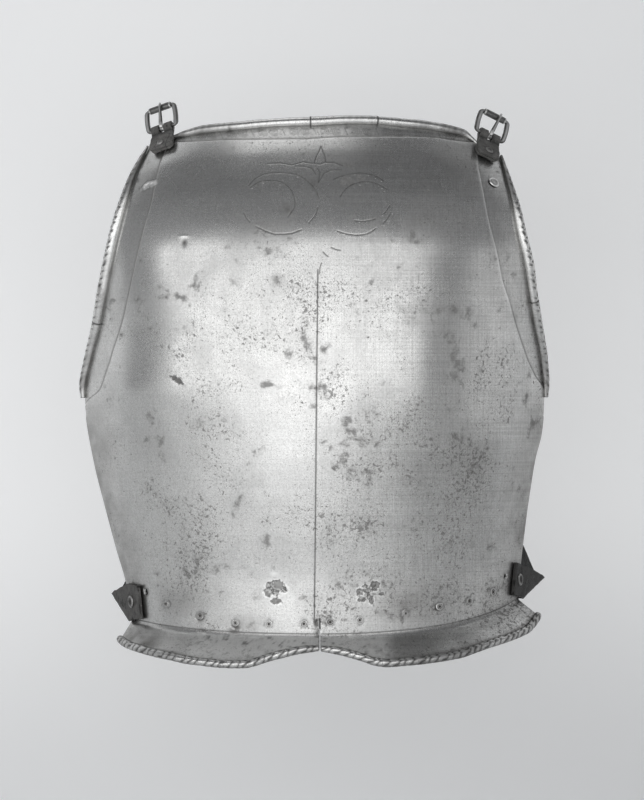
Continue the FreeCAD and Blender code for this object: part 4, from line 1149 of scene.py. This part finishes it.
hidden_wire("neck_wire", neck_run[5:-5], along_top[5:-5], "neck_edge_wire")
hidden_wire("left_arm_wire", -beside[4:-8], arm_levels[4:-8], "left_arm_edge_wire")
hidden_wire("right_arm_wire", beside[4:-8], arm_levels[4:-8], "right_arm_edge_wire")
hidden_wire("left_waist_wire", flange_runs[-1][2:-2], -beside[2:-2], "waist_edge_wire_left")
hidden_wire("right_waist_wire", flange_runs[1][2:-2], -beside[2:-2], "waist_edge_wire_right")

# The lining band: a strip of leather inside the waist, to which a padded lining was once sewn.
# Eleven rivets hold it. It is cut from one hide, a little wavy, and dark with age.


def place_of(seat_shares, lean=0.0):
    """Where a fitting sits on the plate: its right, up and out directions, and its place."""
    at, out = on_plate(*seat_shares), off_plate(*seat_shares)
    aside, upright = math.sin(math.radians(lean)), math.cos(math.radians(lean))
    away = -(aside * out[0] + upright * out[2]) / out[1]
    up = np.array([aside, away, upright])
    up /= np.linalg.norm(up)
    return np.stack([np.cross(up, out), up, out]), at


def put(points, place):
    """Move points in a fitting's own millimetres to its place on the plate, in metres."""
    axes, at = place
    return at + np.asarray(points, float).reshape(-1, 3) / 1000 @ axes


leather_grain, grain_in, grain_out, grain_where = effect_group(
    "leather_grain", (("Scale", 900.0),),
    (("Creases", "NodeSocketFloat"), ("Cloud", "NodeSocketFloat"), ("Height", "NodeSocketFloat")))
grain_cells = leather_grain.nodes.new("ShaderNodeTexVoronoi")
grain_cells.feature = "DISTANCE_TO_EDGE"
leather_grain.links.new(grain_where.outputs["Object"], grain_cells.inputs["Vector"])
leather_grain.links.new(grain_in.outputs["Scale"], grain_cells.inputs["Scale"])
grain_cloud = add_noise(leather_grain, grain_where, 120.0, 5.0, 0.6, warp=0.6)
grain_fine = add_noise(leather_grain, grain_where, 620.0, 4.0, 0.65)
grain_lines = remap(leather_grain, grain_cells.outputs["Distance"], 0.0, 0.12, 1.0, 0.0)
grain_folds = add_noise(leather_grain, grain_where, 210.0, 3.0, 0.6, (1.0, 1.0, 0.35), warp=1.4)
leather_grain.links.new(reckon(leather_grain, "MAXIMUM", reckon(leather_grain, "MULTIPLY",
                                                                grain_lines, 0.6),
                               remap(leather_grain, grain_folds, 0.56, 0.66)),
                        grain_out.inputs["Creases"])
leather_grain.links.new(remap(leather_grain, grain_cloud, 0.35, 0.68),
                        grain_out.inputs["Cloud"])
grain_height = reckon(leather_grain, "SUBTRACT", grain_fine,
                      reckon(leather_grain, "MULTIPLY", grain_lines, 0.5))
leather_grain.links.new(reckon(leather_grain, "SUBTRACT", grain_height,
                               remap(leather_grain, grain_folds, 0.5, 0.7)),
                        grain_out.inputs["Height"])


def leather_finish(name, face_colour, rubbed_and_highlight_colour, crease_colour, roughness):
    """A leather surface: what it is like on its face, where it is rubbed, and in its creases."""
    material = bpy.data.materials.new(name)
    material.use_nodes = True
    tree = material.node_tree
    face = tree.nodes["Principled BSDF"]
    grain = tree.nodes.new("ShaderNodeGroup")
    grain.node_tree = leather_grain
    grain.inputs["Scale"].default_value = 900.0
    colour = blend_colours(tree, grain.outputs["Cloud"], face_colour, rubbed_and_highlight_colour)
    colour = blend_colours(tree, reckon(tree, "MULTIPLY", grain.outputs["Creases"], 0.75),
                           colour, crease_colour)
    colour = blend_colours(tree, reckon(tree, "MULTIPLY", read_mark(tree, "worn"), 0.7), colour,
                           tuple(min(1.0, 1.9 * c) for c in rubbed_and_highlight_colour[:3]) + (1,))
    # The grime mark also lays painted shade, as on a strap's inner leg
    colour = blend_colours(tree, read_mark(tree, "grime"), colour, crease_colour)
    tree.links.new(colour, face.inputs["Base Color"])
    tree.links.new(remap(tree, grain.outputs["Cloud"], 0.0, 1.0, roughness, roughness + 0.2),
                   face.inputs["Roughness"])
    raised = tree.nodes.new("ShaderNodeBump")
    raised.inputs["Strength"].default_value = 0.7
    raised.inputs["Distance"].default_value = 0.0004
    tree.links.new(grain.outputs["Height"], raised.inputs["Height"])
    tree.links.new(raised.outputs["Normal"], face.inputs["Normal"])
    return material


dark_leather = leather_finish("dark_leather", (0.085, 0.083, 0.079, 1), (0.18, 0.176, 0.17, 1),
                              (0.012, 0.012, 0.011, 1), 0.5)
cut_leather = leather_finish("cut_leather", (0.3, 0.295, 0.285, 1), (0.5, 0.49, 0.475, 1),
                             (0.05, 0.048, 0.046, 1), 0.65)


def point_values(mesh, label):
    """One vector of each point of a mesh."""
    values = np.empty(3 * len(mesh.vertices))
    mesh.vertices.foreach_get(label, values)
    return values.reshape(-1, 3)


def leather_mesh(name, points, faces, thickness, crumple, place=None, darkening=None):
    """A sheet of leather from its middle surface: thickness, softened cut edges, creases."""
    mesh = bpy.data.meshes.new(name)
    mesh.from_pydata((np.asarray(points, float).reshape(-1, 3) / 1000).tolist(), [], faces)
    block = bpy.data.objects.new(name, mesh)
    bpy.context.collection.objects.link(block)
    thicken = block.modifiers.new("thickness", "SOLIDIFY")
    thicken.thickness = thickness / 1000
    thicken.offset = 0
    thicken.material_offset_rim = 1
    soften = block.modifiers.new("softened_edges", "BEVEL")
    soften.width = 0.00035
    soften.segments = 2
    soften.limit_method = "ANGLE"
    soften.angle_limit = math.radians(55)
    block.data.materials.append(dark_leather)
    block.data.materials.append(cut_leather)
    bpy.context.view_layer.update()
    done = bpy.data.meshes.new_from_object(
        block.evaluated_get(bpy.context.evaluated_depsgraph_get()))
    bpy.data.objects.remove(block)
    done.name = name
    done.materials.clear()
    places, normals = point_values(done, "co"), point_values(done, "normal")
    rimmed = np.zeros(len(places))
    for polygon in done.polygons:
        if polygon.material_index == 1:
            for corner in polygon.vertices:
                rimmed[corner] = 1.0
    creased = cloud_at(places, 0.0042, 31)
    wrinkled = cloud_at(places, 0.0015, 32)
    marks_grime_and_shade = np.clip(-1.4 * creased - 0.45, 0, 0.75)
    if darkening is not None:
        marks_grime_and_shade = np.maximum(marks_grime_and_shade, darkening(places * 1000))
    places = places + normals * ((crumple * (0.75 * creased + 0.3 * wrinkled))[:, None] / 1000)
    if place is not None:
        places = put(places * 1000, place)
    done.vertices.foreach_set("co", places.ravel())
    keep_marks(done, worn=0.75 * rimmed * np.clip(0.7 + 0.9 * wrinkled, 0, 1),
               grime=marks_grime_and_shade * (1 - rimmed))
    done.polygons.foreach_set("use_smooth", [True] * len(done.polygons))
    done.update()
    return done


def sheet_faces(columns, rows, left_out=lambda k, m: False):
    """Squares between columns and rows of points, but for those left out."""
    return [(k * rows + m, (k + 1) * rows + m, (k + 1) * rows + m + 1, k * rows + m + 1)
            for k in range(columns - 1) for m in range(rows - 1) if not left_out(k, m)]


band_ends = (-0.76, 0.84)
band_depth = 0.0029
band_half_width = 0.005
band_thickness = 2.0
band_columns, band_rows = 190, 7
band_across = np.repeat(np.linspace(*band_ends, band_columns), band_rows)
band_share = np.tile(np.linspace(-1, 1, band_rows), band_columns)
band_wave = 0.08 * np.sin(band_across * 31) + 0.05 * np.sin(band_across * 67 + 1)
band_level = rivet_level(band_across) + (band_half_width * (band_share + band_wave)
                                         / plate_height)
band_points = on_plate(band_across, band_level) - off_plate(band_across, band_level) * band_depth
finished_piece("lining_strip",
               leather_mesh("lining_strip", band_points * 1000,
                            sheet_faces(band_columns, band_rows), band_thickness, 0.15),
               (dark_leather, cut_leather), "lining_band", "plate")

# The lining rivets, small domed iron pins hammered down over washers inside.
# Their heads are worn bright round the rim and black in the middle, where rust has eaten them.


def turned(profile, round_count=36, oval=(1.0, 1.0), uneven=0.0, seed=0, looped=False):
    """Rings of points about Z, from a profile of (radius, height, worn, grime), and faces."""
    turn = np.linspace(0, 2 * np.pi, round_count, endpoint=False)
    radius, height, worn_rings, grime_rings = np.array(profile, float).T
    wave = 1 + uneven * (np.sin(2 * turn + seed) + 0.6 * np.sin(3 * turn + 2.3 * seed)
                         + 0.4 * np.sin(5 * turn + 1.1 * seed))
    points = np.stack([radius[:, None] * oval[0] * (np.cos(turn) * wave)[None, :],
                       radius[:, None] * oval[1] * (np.sin(turn) * wave)[None, :],
                       np.repeat(height[:, None], round_count, axis=1)], axis=-1)
    marks = {"worn": np.repeat(worn_rings, round_count),
             "grime": np.repeat(grime_rings, round_count)}
    return points.reshape(-1, 3), tube_faces(len(radius), round_count, looped), marks


crease_angle = math.radians(50)


def gathered_mesh(name, parts):
    """One mesh of several closed parts, each (points in metres, faces, marks)."""
    points, faces = [], []
    marks = {"worn": [], "grime": [], "cut": [], "scar": []}
    for part_points, part_faces, part_marks in parts:
        start = sum(len(p) for p in points)
        points.append(np.asarray(part_points))
        faces += [tuple(start + c for c in face) for face in part_faces]
        for label, values in marks.items():
            values.append(part_marks.get(label, np.zeros(len(part_points))))
    mesh = bpy.data.meshes.new(name)
    mesh.from_pydata(np.concatenate(points).tolist(), [], faces)
    keep_marks(mesh, **{label: np.concatenate(values) for label, values in marks.items()})
    face_outward(mesh)
    mesh.polygons.foreach_set("use_smooth", [True] * len(faces))
    mesh.set_sharp_from_angle(angle=crease_angle)
    return mesh


rivet_iron = steel_finish("rivet_iron", (0.6, 0.595, 0.585, 1), (0.06, 0.056, 0.052, 1), 0.8,
                          0.9, 0.0, 0.3)
lining_rivet_profile = ((0.35, 0.3, 0.0, 0.9), (0.8, 0.35, 0.0, 0.85), (1.15, 0.62, 0.5, 0.3),
                        (1.5, 0.66, 0.2, 0.4), (1.9, 0.52, 0.0, 0.6), (2.3, 0.62, 0.7, 0.1),
                        (2.7, 0.5, 1.0, 0.0), (2.95, 0.15, 0.6, 0.2),
                        (2.8, -0.02, 0.0, 0.8), (1.1, -0.05, 0.0, 0.8), (1.1, -4.9, 0.0, 0.6),
                        (1.8, -4.94, 0.0, 0.6), (1.9, -5.2, 0.3, 0.2), (1.5, -5.55, 0.5, 0.0),
                        (0.3, -5.65, 0.5, 0.0))
# How big each head still is, and how much of its bright rim is left
rivet_wear = ((0.75, 0.5), (0.95, 0.45), (0.85, 0.8), (1.0, 0.9), (1.0, 1.0), (1.05, 1.0),
              (1.0, 1.0), (0.5, 1.0), (1.0, 0.85), (0.85, 0.8), (0.95, 0.7))
lining_rivet_parts = []
for count, (share, (size_share, shine)) in enumerate(zip(rivet_shares, rivet_wear)):
    profile = [(radius * size_share if height > -0.04 and radius > 1.1 else radius, height,
                worn_share * shine, grime_share) for radius, height, worn_share, grime_share
               in lining_rivet_profile]
    points, faces, marks = turned(profile, uneven=0.06, seed=count * 1.7)
    spot = place_of((share, rivet_level(share)))
    lining_rivet_parts.append((put(points, spot), faces, marks))
finished_piece("lining_rivet_row", gathered_mesh("lining_rivet_row", lining_rivet_parts),
               (rivet_iron,), "lining_rivets", "plate")

# The washers inside, left as they are drawn: flat rings cut from sheet iron.
for washer_node in ("lining_roves", "left_tab_rove", "right_tab_rove", "left_waist_strap_rove",
                    "right_waist_strap_rove"):
    washer_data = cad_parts[washer_node].data
    washer_data.materials.clear()
    washer_data.materials.append(rivet_iron)

# The shoulder plug: an oval iron pin, hammered flat, that closes an old hole.
plug_profile = ((0.4, 0.55, 0.1, 0.0), (1.5, 0.68, 0.0, 0.2), (2.8, 0.72, 0.1, 0.1),
                (3.6, 0.6, 0.9, 0.0), (4.15, 0.3, 1.0, 0.0), (4.4, 0.05, 0.3, 0.5),
                (3.2, -0.05, 0.0, 0.9), (3.15, -1.74, 0.0, 0.5), (4.0, -1.76, 0.0, 0.5),
                (3.9, -2.2, 0.4, 0.1), (0.4, -2.44, 0.3, 0.1))
points, faces, marks = turned(plug_profile, 44, (1.0, 0.85), 0.02, 2)
plug_place = place_of((0.887, 0.9216))
finished_piece("shoulder_plug", gathered_mesh("shoulder_plug", [(put(points, plug_place), faces,
                                                                 marks)]),
               (plate_steel,), "shoulder_plug_rivet", "plate")

# The shoulder tabs: each a strip of thick leather, folded round a buckle's bar.
# Its two layers lie on each other, and one rivet holds both to the plate. A slot lets the
# buckle's tongue through the fold. The corners of the tail are cut off.
tab_places = {"left": place_of((-0.862, 0.983), 6), "right": place_of((0.88, 0.984), 4)}
# The left tab's leather is a lighter copy of the dark leather: painted light on that tab
painted_light_leather = leather_finish("painted_light_leather", (0.125, 0.122, 0.117, 1),
                                (0.25, 0.245, 0.235, 1), (0.014, 0.014, 0.013, 1), 0.5)
tab_leathers = {"left": painted_light_leather, "right": dark_leather}
tab_leather = 2.2
tab_seat = 0.75
fold_radius = 3.56
bar_y = 15.5
bar_z = tab_seat + fold_radius
slot_start = 10.54
slot_half = 2.2


def tab_half_width(y):
    """Half the leather's width: narrow between the buckle's limbs, cut off at the tail."""
    return np.interp(y, [-5.0, -2.4, 3.0, 9.0, 20.0], [7.0, 9.5, 9.2, 8.5, 8.3])


def shoulder_tab(side):
    """A folded tab, from the tail of its lower layer round the bar to the tail of its upper."""
    low, high = tab_seat + tab_leather / 2, tab_seat + 1.5 * tab_leather
    arc = np.radians(np.linspace(-90, 90, 15))
    eye = fold_radius - tab_leather / 2
    path = [(y, low) for y in np.linspace(-5.0, slot_start, 15)]
    slot_from = len(path) - 1
    path += [(y, low) for y in np.linspace(slot_start, bar_y, 6)[1:-1]]
    path += [(bar_y + eye * math.cos(t), bar_z + eye * math.sin(t)) for t in arc]
    path += [(14.2, bar_z + eye - 0.25), (12.9, bar_z + eye - 0.9), (11.7, high + 0.8)]
    path += [(slot_start, high + 0.3)]
    slot_to = len(path) - 1
    path += [(9.0, high + 0.02)] + [(y, high) for y in np.linspace(7.6, -4.5, 12)]
    edges = np.concatenate([np.linspace(-1, 0, 6), np.linspace(0, 1, 4)[1:-1],
                            np.linspace(0, 1, 6)])
    columns = len(path)
    points = []
    for k, (y, z) in enumerate(path):
        half = float(tab_half_width(y))
        across = np.concatenate([np.linspace(-half, -slot_half, 6),
                                 np.linspace(-slot_half, slot_half, 4)[1:-1],
                                 np.linspace(slot_half, half, 6)])
        sag = 0.25 * math.sin(1.3 * k) * (k > slot_to)
        points += [(x + 0.15 * math.sin(0.9 * k), y, z + sag * (abs(x) / half) ** 2)
                   for x in across]
    rows = len(edges)
    faces = sheet_faces(columns, rows,
                        lambda k, m: slot_from <= k < slot_to and 5 <= m < 8)

    def in_creases(places):
        """Darker where the upper layer dips down behind the bar."""
        return 0.8 * bell(places[:, 1] - 10.2, 1.1) * (places[:, 2] > high - 0.5)

    mesh = leather_mesh(f"{side}_folded_tab", points, faces, tab_leather, 0.3,
                        tab_places[side], in_creases)
    finished_piece(f"{side}_folded_tab", mesh, (tab_leathers[side], cut_leather),
                   f"{side}_shoulder_tab", f"{side}_tab")


tab_rivet_profile = ((0.4, 1.3, 0.2, 0.2), (1.2, 1.2, 0.4, 0.1), (2.1, 0.9, 0.8, 0.0),
                     (2.8, 0.45, 0.9, 0.0), (3.1, 0.1, 0.3, 0.3), (3.0, -0.02, 0.0, 0.8),
                     (1.6, -0.04, 0.0, 0.6), (1.6, -8.6, 0.0, 0.6), (2.5, -8.64, 0.0, 0.5),
                     (2.6, -8.95, 0.3, 0.2), (0.4, -9.3, 0.4, 0.1))
pin_iron = steel_finish("pin_iron", (0.2, 0.196, 0.19, 1), (0.04, 0.038, 0.036, 1), 0.8,
                        0.9, 0.0, 0.42)
head_gap = 0.12


def old_pin(name, profile, round_count, oval, uneven, seed, head_at, shine, place, node):
    """A rivet whose head is hammered down on leather. Little of its bright crest is left."""
    points, faces, marks = turned(profile, round_count, oval, uneven, seed)
    points[:, 2] += head_at
    marks["worn"] *= shine
    finished_piece(name, gathered_mesh(name, [(put(points, place), faces, marks)]), (pin_iron,),
                   node, "plate")


for side, oval, seed in (("left", (0.85, 0.7), 1), ("right", (1.15, 0.75), 4)):
    shoulder_tab(side)
    old_pin(f"{side}_tab_pin", tab_rivet_profile, 36, oval, 0.03, seed,
            tab_seat + 2 * tab_leather + head_gap, 0.35, tab_places[side], f"{side}_tab_rivet")

# The buckles, filed from forged steel. Each frame is one closed loop, its limbs bowed a little
# and filed to flat faces. A sleeve of sheet steel rolls on the front bar, and the tongue's eye
# is bent round the other, which the leather hides.
buckle_rise = 22
buckle_width, buckle_length, buckle_corner, wire_radius = 22.8, 17.0, 2.2, 1.3
roller_radius = 2.46
roller_half = 9.05
eye_radius = 2.26
wire_bore = 1.52
buckle_steel = steel_finish("buckle_steel", (0.24, 0.24, 0.237, 1), (0.04, 0.038, 0.036, 1),
                            0.5, 0.7, 0.25, 0.34)


def bar_place(side):
    """The middle of the buckle's bar: its right, its front and its face, raised off the tab."""
    axes, at = tab_places[side]
    tilt, rise = math.cos(math.radians(buckle_rise)), math.sin(math.radians(buckle_rise))
    right, up, out = axes
    middle = at + (up * bar_y + out * bar_z) / 1000
    return np.stack([right, up * tilt + out * rise, out * tilt - up * rise]), middle


squared_count = 24


def squared_ring(half_wide, half_high, power):
    """One cross-section between round, at power 2, and square."""
    turn = np.linspace(0, 2 * np.pi, squared_count, endpoint=False) + 1e-9
    c, s = np.cos(turn), np.sin(turn)
    return (half_wide * np.sign(c) * np.abs(c) ** (2 / power),
            half_high * np.sign(s) * np.abs(s) ** (2 / power), turn)


def buckle_frame(side):
    """The frame's loop, round along its bar and its front, filed flat along its limbs."""
    half, corner = buckle_width / 2, buckle_corner
    right, far = half - corner, buckle_length - corner
    across = np.linspace(right, -right, 12)[1:-1]
    ahead = np.linspace(corner, far, 12)[1:-1]
    path = []
    for middle_x, middle_y, start, limb in (
            (right, corner, -90, [(half, y) for y in ahead]),
            (right, far, 0, [(x, buckle_length) for x in across]),
            (-right, far, 90, [(-half, y) for y in ahead[::-1]]),
            (-right, corner, 180, [(x, 0.0) for x in across[::-1]])):
        turns = [math.radians(start + 15 * k) for k in range(7)]
        path += [(middle_x + corner * math.cos(turn), middle_y + corner * math.sin(turn))
                 for turn in turns] + limb
    path = np.array(path)
    bow = 0.7 * np.sin(np.pi * np.clip(path[:, 1] / buckle_length, 0, 1))
    path[:, 0] += np.sign(path[:, 0]) * bow * smooth_step((np.abs(path[:, 0]) - 8.5) / 2.5)
    along = np.roll(path, -1, axis=0) - np.roll(path, 1, axis=0)
    along /= np.linalg.norm(along, axis=1, keepdims=True)
    outward = np.stack([along[:, 1], -along[:, 0]], axis=1)
    limb = smooth_step((np.abs(path[:, 0]) - 9.6) / 1.6) * smooth_step(
        (path[:, 1] + 0.4) / 2.4) * smooth_step((buckle_length + 0.4 - path[:, 1]) / 2.4)
    points, wear_and_highlight_marks, grime_marks = [], [], []
    for place, out, flat in zip(path, outward, limb):
        wide, high, turn = squared_ring(wire_radius + 0.45 * flat, wire_radius, 2 + 1.8 * flat)
        points += [(place[0] + out[0] * w, place[1] + out[1] * w, h)
                   for w, h in zip(wide, high)]
        # Worn bright along the crest of the outer face, with a painted highlight there
        wear_and_highlight_marks += list((0.35 + 0.5 * flat) * bell(turn - np.pi / 2, 0.35))
        grime_marks += list(0.55 * flat * bell(np.abs(np.cos(turn)) - 0.75, 0.14))
    faces = tube_faces(len(path), squared_count, looped=True)
    marks = {"worn": np.array(wear_and_highlight_marks), "grime": np.array(grime_marks)}
    mesh = gathered_mesh(f"{side}_frame_loop", [(put(points, bar_place(side)), faces, marks)])
    finished_piece(f"{side}_frame_loop", mesh, (buckle_steel,), f"{side}_buckle_frame",
                   f"{side}_buckle")


def about_bar(points, middle_y=0.0):
    """Turn rings made about Z so that they lie about the buckle's bar or its front."""
    return np.stack([points[:, 2], points[:, 0] + middle_y, points[:, 1]], axis=1)


def sleeve_profile(half_length, outer, inner, lip):
    """A bored sleeve's profile from one end to the other, with a rolled lip at each."""
    end = ((inner, 0.1, 0, 0.9), (outer - 0.5, 0, 0.5, 0.2), (outer - 0.12, 0.12, 0.9, 0),
           (outer, 0.45, 0.6, 0), (outer, 1.1, 0.3, 0), (outer - lip, 1.4, 0, 0.7),
           (outer - 0.03, 1.8, 0, 0.3))
    first = [(radius, inset - half_length, *marks) for radius, inset, *marks in end]
    last = [(radius, half_length - inset, *marks) for radius, inset, *marks in end[::-1]]
    middle = half_length - end[-1][1]
    return first + [(outer - 0.02 * math.sin(k), middle * (k / 6 - 1), 0, 0.15)
                    for k in range(1, 12)] + last


def bored(profile, round_count, seam=0.0):
    """Turned rings joined into a tube: the last ring closes on the first."""
    points, faces, marks = turned(profile, round_count, looped=True)
    if seam:
        turn = np.arctan2(points[:, 1], points[:, 0])
        near = bell(turn + 2.2, 0.09)
        points[:, :2] *= (1 - seam * near / np.hypot(points[:, 0], points[:, 1]))[:, None]
        marks["grime"] = np.maximum(marks["grime"], near)
    return points, faces, marks


def buckle_roller(side):
    """The sheet steel sleeve, with a seam along it and a lip at each end."""
    points, faces, marks = bored(sleeve_profile(roller_half, roller_radius, wire_bore, 0.14),
                                 48, 0.25)
    points = about_bar(points, buckle_length)
    mesh = gathered_mesh(f"{side}_sleeve", [(put(points, bar_place(side)), faces, marks)])
    finished_piece(f"{side}_sleeve", mesh, (buckle_steel,), f"{side}_buckle_roller",
                   f"{side}_roller")


# The tongue's arm: how far out, how high its middle, half width, half height, how square
tongue_line = ((0.2, 2.25, 1.25, 0.75, 2.0), (1.4, 2.55, 1.45, 1.05, 3.0),
               (3.2, 2.62, 1.5, 1.05, 3.2), (6.5, 2.75, 1.35, 1.0, 3.0),
               (10.0, 2.98, 1.2, 0.95, 2.8), (13.5, 3.28, 1.1, 0.88, 2.6),
               (15.6, 3.45, 1.15, 0.85, 2.4), (17.2, 3.55, 1.12, 0.8, 2.2),
               (18.6, 3.55, 1.05, 0.72, 2.0), (19.4, 3.5, 0.8, 0.6, 2.0),
               (19.8, 3.45, 0.3, 0.3, 2.0))
tongue_skews = {"left": 0.1, "right": 0.19}


def buckle_tongue(side):
    """The tongue: an eye bent round the bar and a tapered arm that lies on the roller."""
    line = np.array(tongue_line)
    steps = np.linspace(line[0, 0], line[-1, 0], 34)
    z, wide, high, power = (np.interp(steps, line[:, 0], line[:, k]) for k in range(1, 5))
    points, wear_and_highlight_marks, grime_marks = [], [], []
    for k, y in enumerate(steps):
        across, up, turn = squared_ring(wide[k], high[k], power[k])
        skew = tongue_skews[side] * max(0.0, y - 1.5)
        points += [(a + skew, y, z[k] + u) for a, u in zip(across, up)]
        tip = smooth_step((y - 15.5) / 2.5) + smooth_step((4.5 - y) / 2.0)
        # Worn bright along the crest of the outer face and at both ends, with a painted highlight
        # along the crest
        wear_and_highlight_marks += list(np.clip(0.9 * bell(turn - np.pi / 2, 0.3)
                                   + 0.8 * tip * (np.sin(turn) > 0.2), 0, 1))
        grime_marks += list(0.6 * bell(np.abs(np.cos(turn)) - 0.86, 0.1) * (1 - min(tip, 1)))
    arm = (put(points, bar_place(side)), tube_faces(len(steps), squared_count),
           {"worn": np.array(wear_and_highlight_marks), "grime": np.array(grime_marks)})
    eye_profile = [(wire_bore, -1.3, 0, 0.8), (eye_radius - 0.16, -1.4, 0.6, 0.1),
                   (eye_radius, -1.2, 0.7, 0), (eye_radius, -0.4, 0.3, 0.1),
                   (eye_radius, 0.4, 0.3, 0.1), (eye_radius, 1.2, 0.7, 0),
                   (eye_radius - 0.16, 1.4, 0.6, 0.1), (wire_bore, 1.3, 0, 0.8)]
    eye_points, eye_faces, eye_marks = bored(eye_profile, 32)
    eye = (put(about_bar(eye_points), bar_place(side)), eye_faces, eye_marks)
    finished_piece(f"{side}_tongue_pin", gathered_mesh(f"{side}_tongue_pin", [arm, eye]),
                   (buckle_steel,), f"{side}_buckle_tongue", f"{side}_tongue")


for side in ("left", "right"):
    buckle_frame(side)
    buckle_roller(side)
    buckle_tongue(side)

# The waist straps: wide leather folded round the plate's side edge, each on one rivet.
# Their folds stand out to a blunt corner, and the inner leg shows above the outer one.
strap_leather = 2.6
strap_seat = 0.9
strap_gap = 1.6
strap_outer = strap_seat + strap_leather / 2
strap_inner = -(plate_thickness * 1000 + strap_gap + strap_leather / 2)
strap_places = {"left": place_of((-0.9367, 0.0408)), "right": place_of((0.9602, 0.0497))}
# The right strap's leather is a blacker copy of the dark leather: painted shade on that strap
painted_shade_leather = leather_finish("painted_shade_leather", (0.028, 0.027, 0.026, 1),
                               (0.06, 0.058, 0.056, 1), (0.008, 0.008, 0.007, 1), 0.5)
strap_leathers = {"left": dark_leather, "right": painted_shade_leather}
# Corners of each strap, (outward, up) from its rivet: the lower edge's, then the upper edge's
strap_corners = {
    "left": (((-13.4, -11.0), (-9.0, 13.0)), ((-2.0, -13.2), (6.0, 12.3)),
             ((6.0, -15.2), (32.0, 1.3)), ((2.0, -13.8), (18.1, 12.7)),
             ((-12.0, -11.2), (-12.0, 12.0))),
    "right": (((-9.0, -11.2), (-4.5, 12.8)), ((0.0, -12.5), (15.3, 7.8)),
              ((8.1, -13.7), (40.4, 0.2)), ((5.0, -13.6), (17.0, 24.3)),
              ((-11.0, -12.0), (-8.0, 18.0))),
}


def waist_strap(side, hand):
    """The strap's sheet: its outer leg, its fold round the plate's edge and its inner leg."""
    rear, kink, fold, back_kink, back_rear = (np.array(pair) for pair in strap_corners[side])
    rows = 22
    share = np.linspace(0, 1, rows)[:, None]

    def edge_line(pair):
        return pair[0] + (pair[1] - pair[0]) * share

    bend = (strap_outer - strap_inner) / 2
    stations = []
    for start, end, count in ((rear, kink, 10), (kink, fold, 14)):
        for k in range(count):
            part = k / count
            flat = edge_line(start) * (1 - part) + edge_line(end) * part
            flat[:, 0] -= bend * (part if start is kink else 0)
            lift = 0.35 * math.sin(math.pi * part) if start is kink else 0.0
            stations.append((flat, strap_outer + lift))
    for k in range(9):
        turn = math.pi * k / 8
        flat = edge_line(fold).copy()
        flat[:, 0] += bend * (math.sin(turn) - 1)
        stations.append((flat, strap_inner + bend + bend * math.cos(turn)))
    for start, end, count in ((fold, back_kink, 12), (back_kink, back_rear, 10)):
        for k in range(1, count + 1):
            part = k / count
            flat = edge_line(start) * (1 - part) + edge_line(end) * part
            if start is fold:
                flat[:, 0] -= bend * (1 - part)
            stations.append((flat, strap_inner))
    points = []
    for flat, height in stations:
        points += [(hand * a, b, height) for a, b in flat]
    faces = sheet_faces(len(stations), rows)
    # Painted shade darkens the inner leg, behind the plate's edge
    mesh = leather_mesh(f"{side}_folded_strap", points, faces, strap_leather, 0.4,
                        strap_places[side],
                        lambda places: 0.85 * smooth_step((1.2 - places[:, 2]) / 2.5))
    finished_piece(f"{side}_folded_strap", mesh, (strap_leathers[side], cut_leather),
                   f"{side}_waist_strap", f"{side}_strap")


strap_rivet_profile = ((0.4, 0.7, 0.0, 0.7), (1.6, 0.6, 0.0, 0.6), (2.8, 0.85, 0.2, 0.3),
                       (3.6, 1.1, 0.8, 0.0), (4.2, 0.8, 0.9, 0.0), (4.6, 0.2, 0.4, 0.3),
                       (4.4, -0.02, 0.0, 0.8), (1.7, -0.05, 0.0, 0.6), (1.7, -10.55, 0.0, 0.6),
                       (2.6, -10.6, 0.0, 0.5), (2.7, -10.95, 0.3, 0.2), (0.4, -11.25, 0.4, 0.1))
for side, hand, oval in (("left", -1, (0.8, 1.0)), ("right", 1, (0.7, 1.0))):
    waist_strap(side, hand)
    old_pin(f"{side}_strap_pin", strap_rivet_profile, 40, oval, 0.04, 3 * hand,
            strap_seat + strap_leather + head_gap, 0.4, strap_places[side],
            f"{side}_waist_strap_rivet")
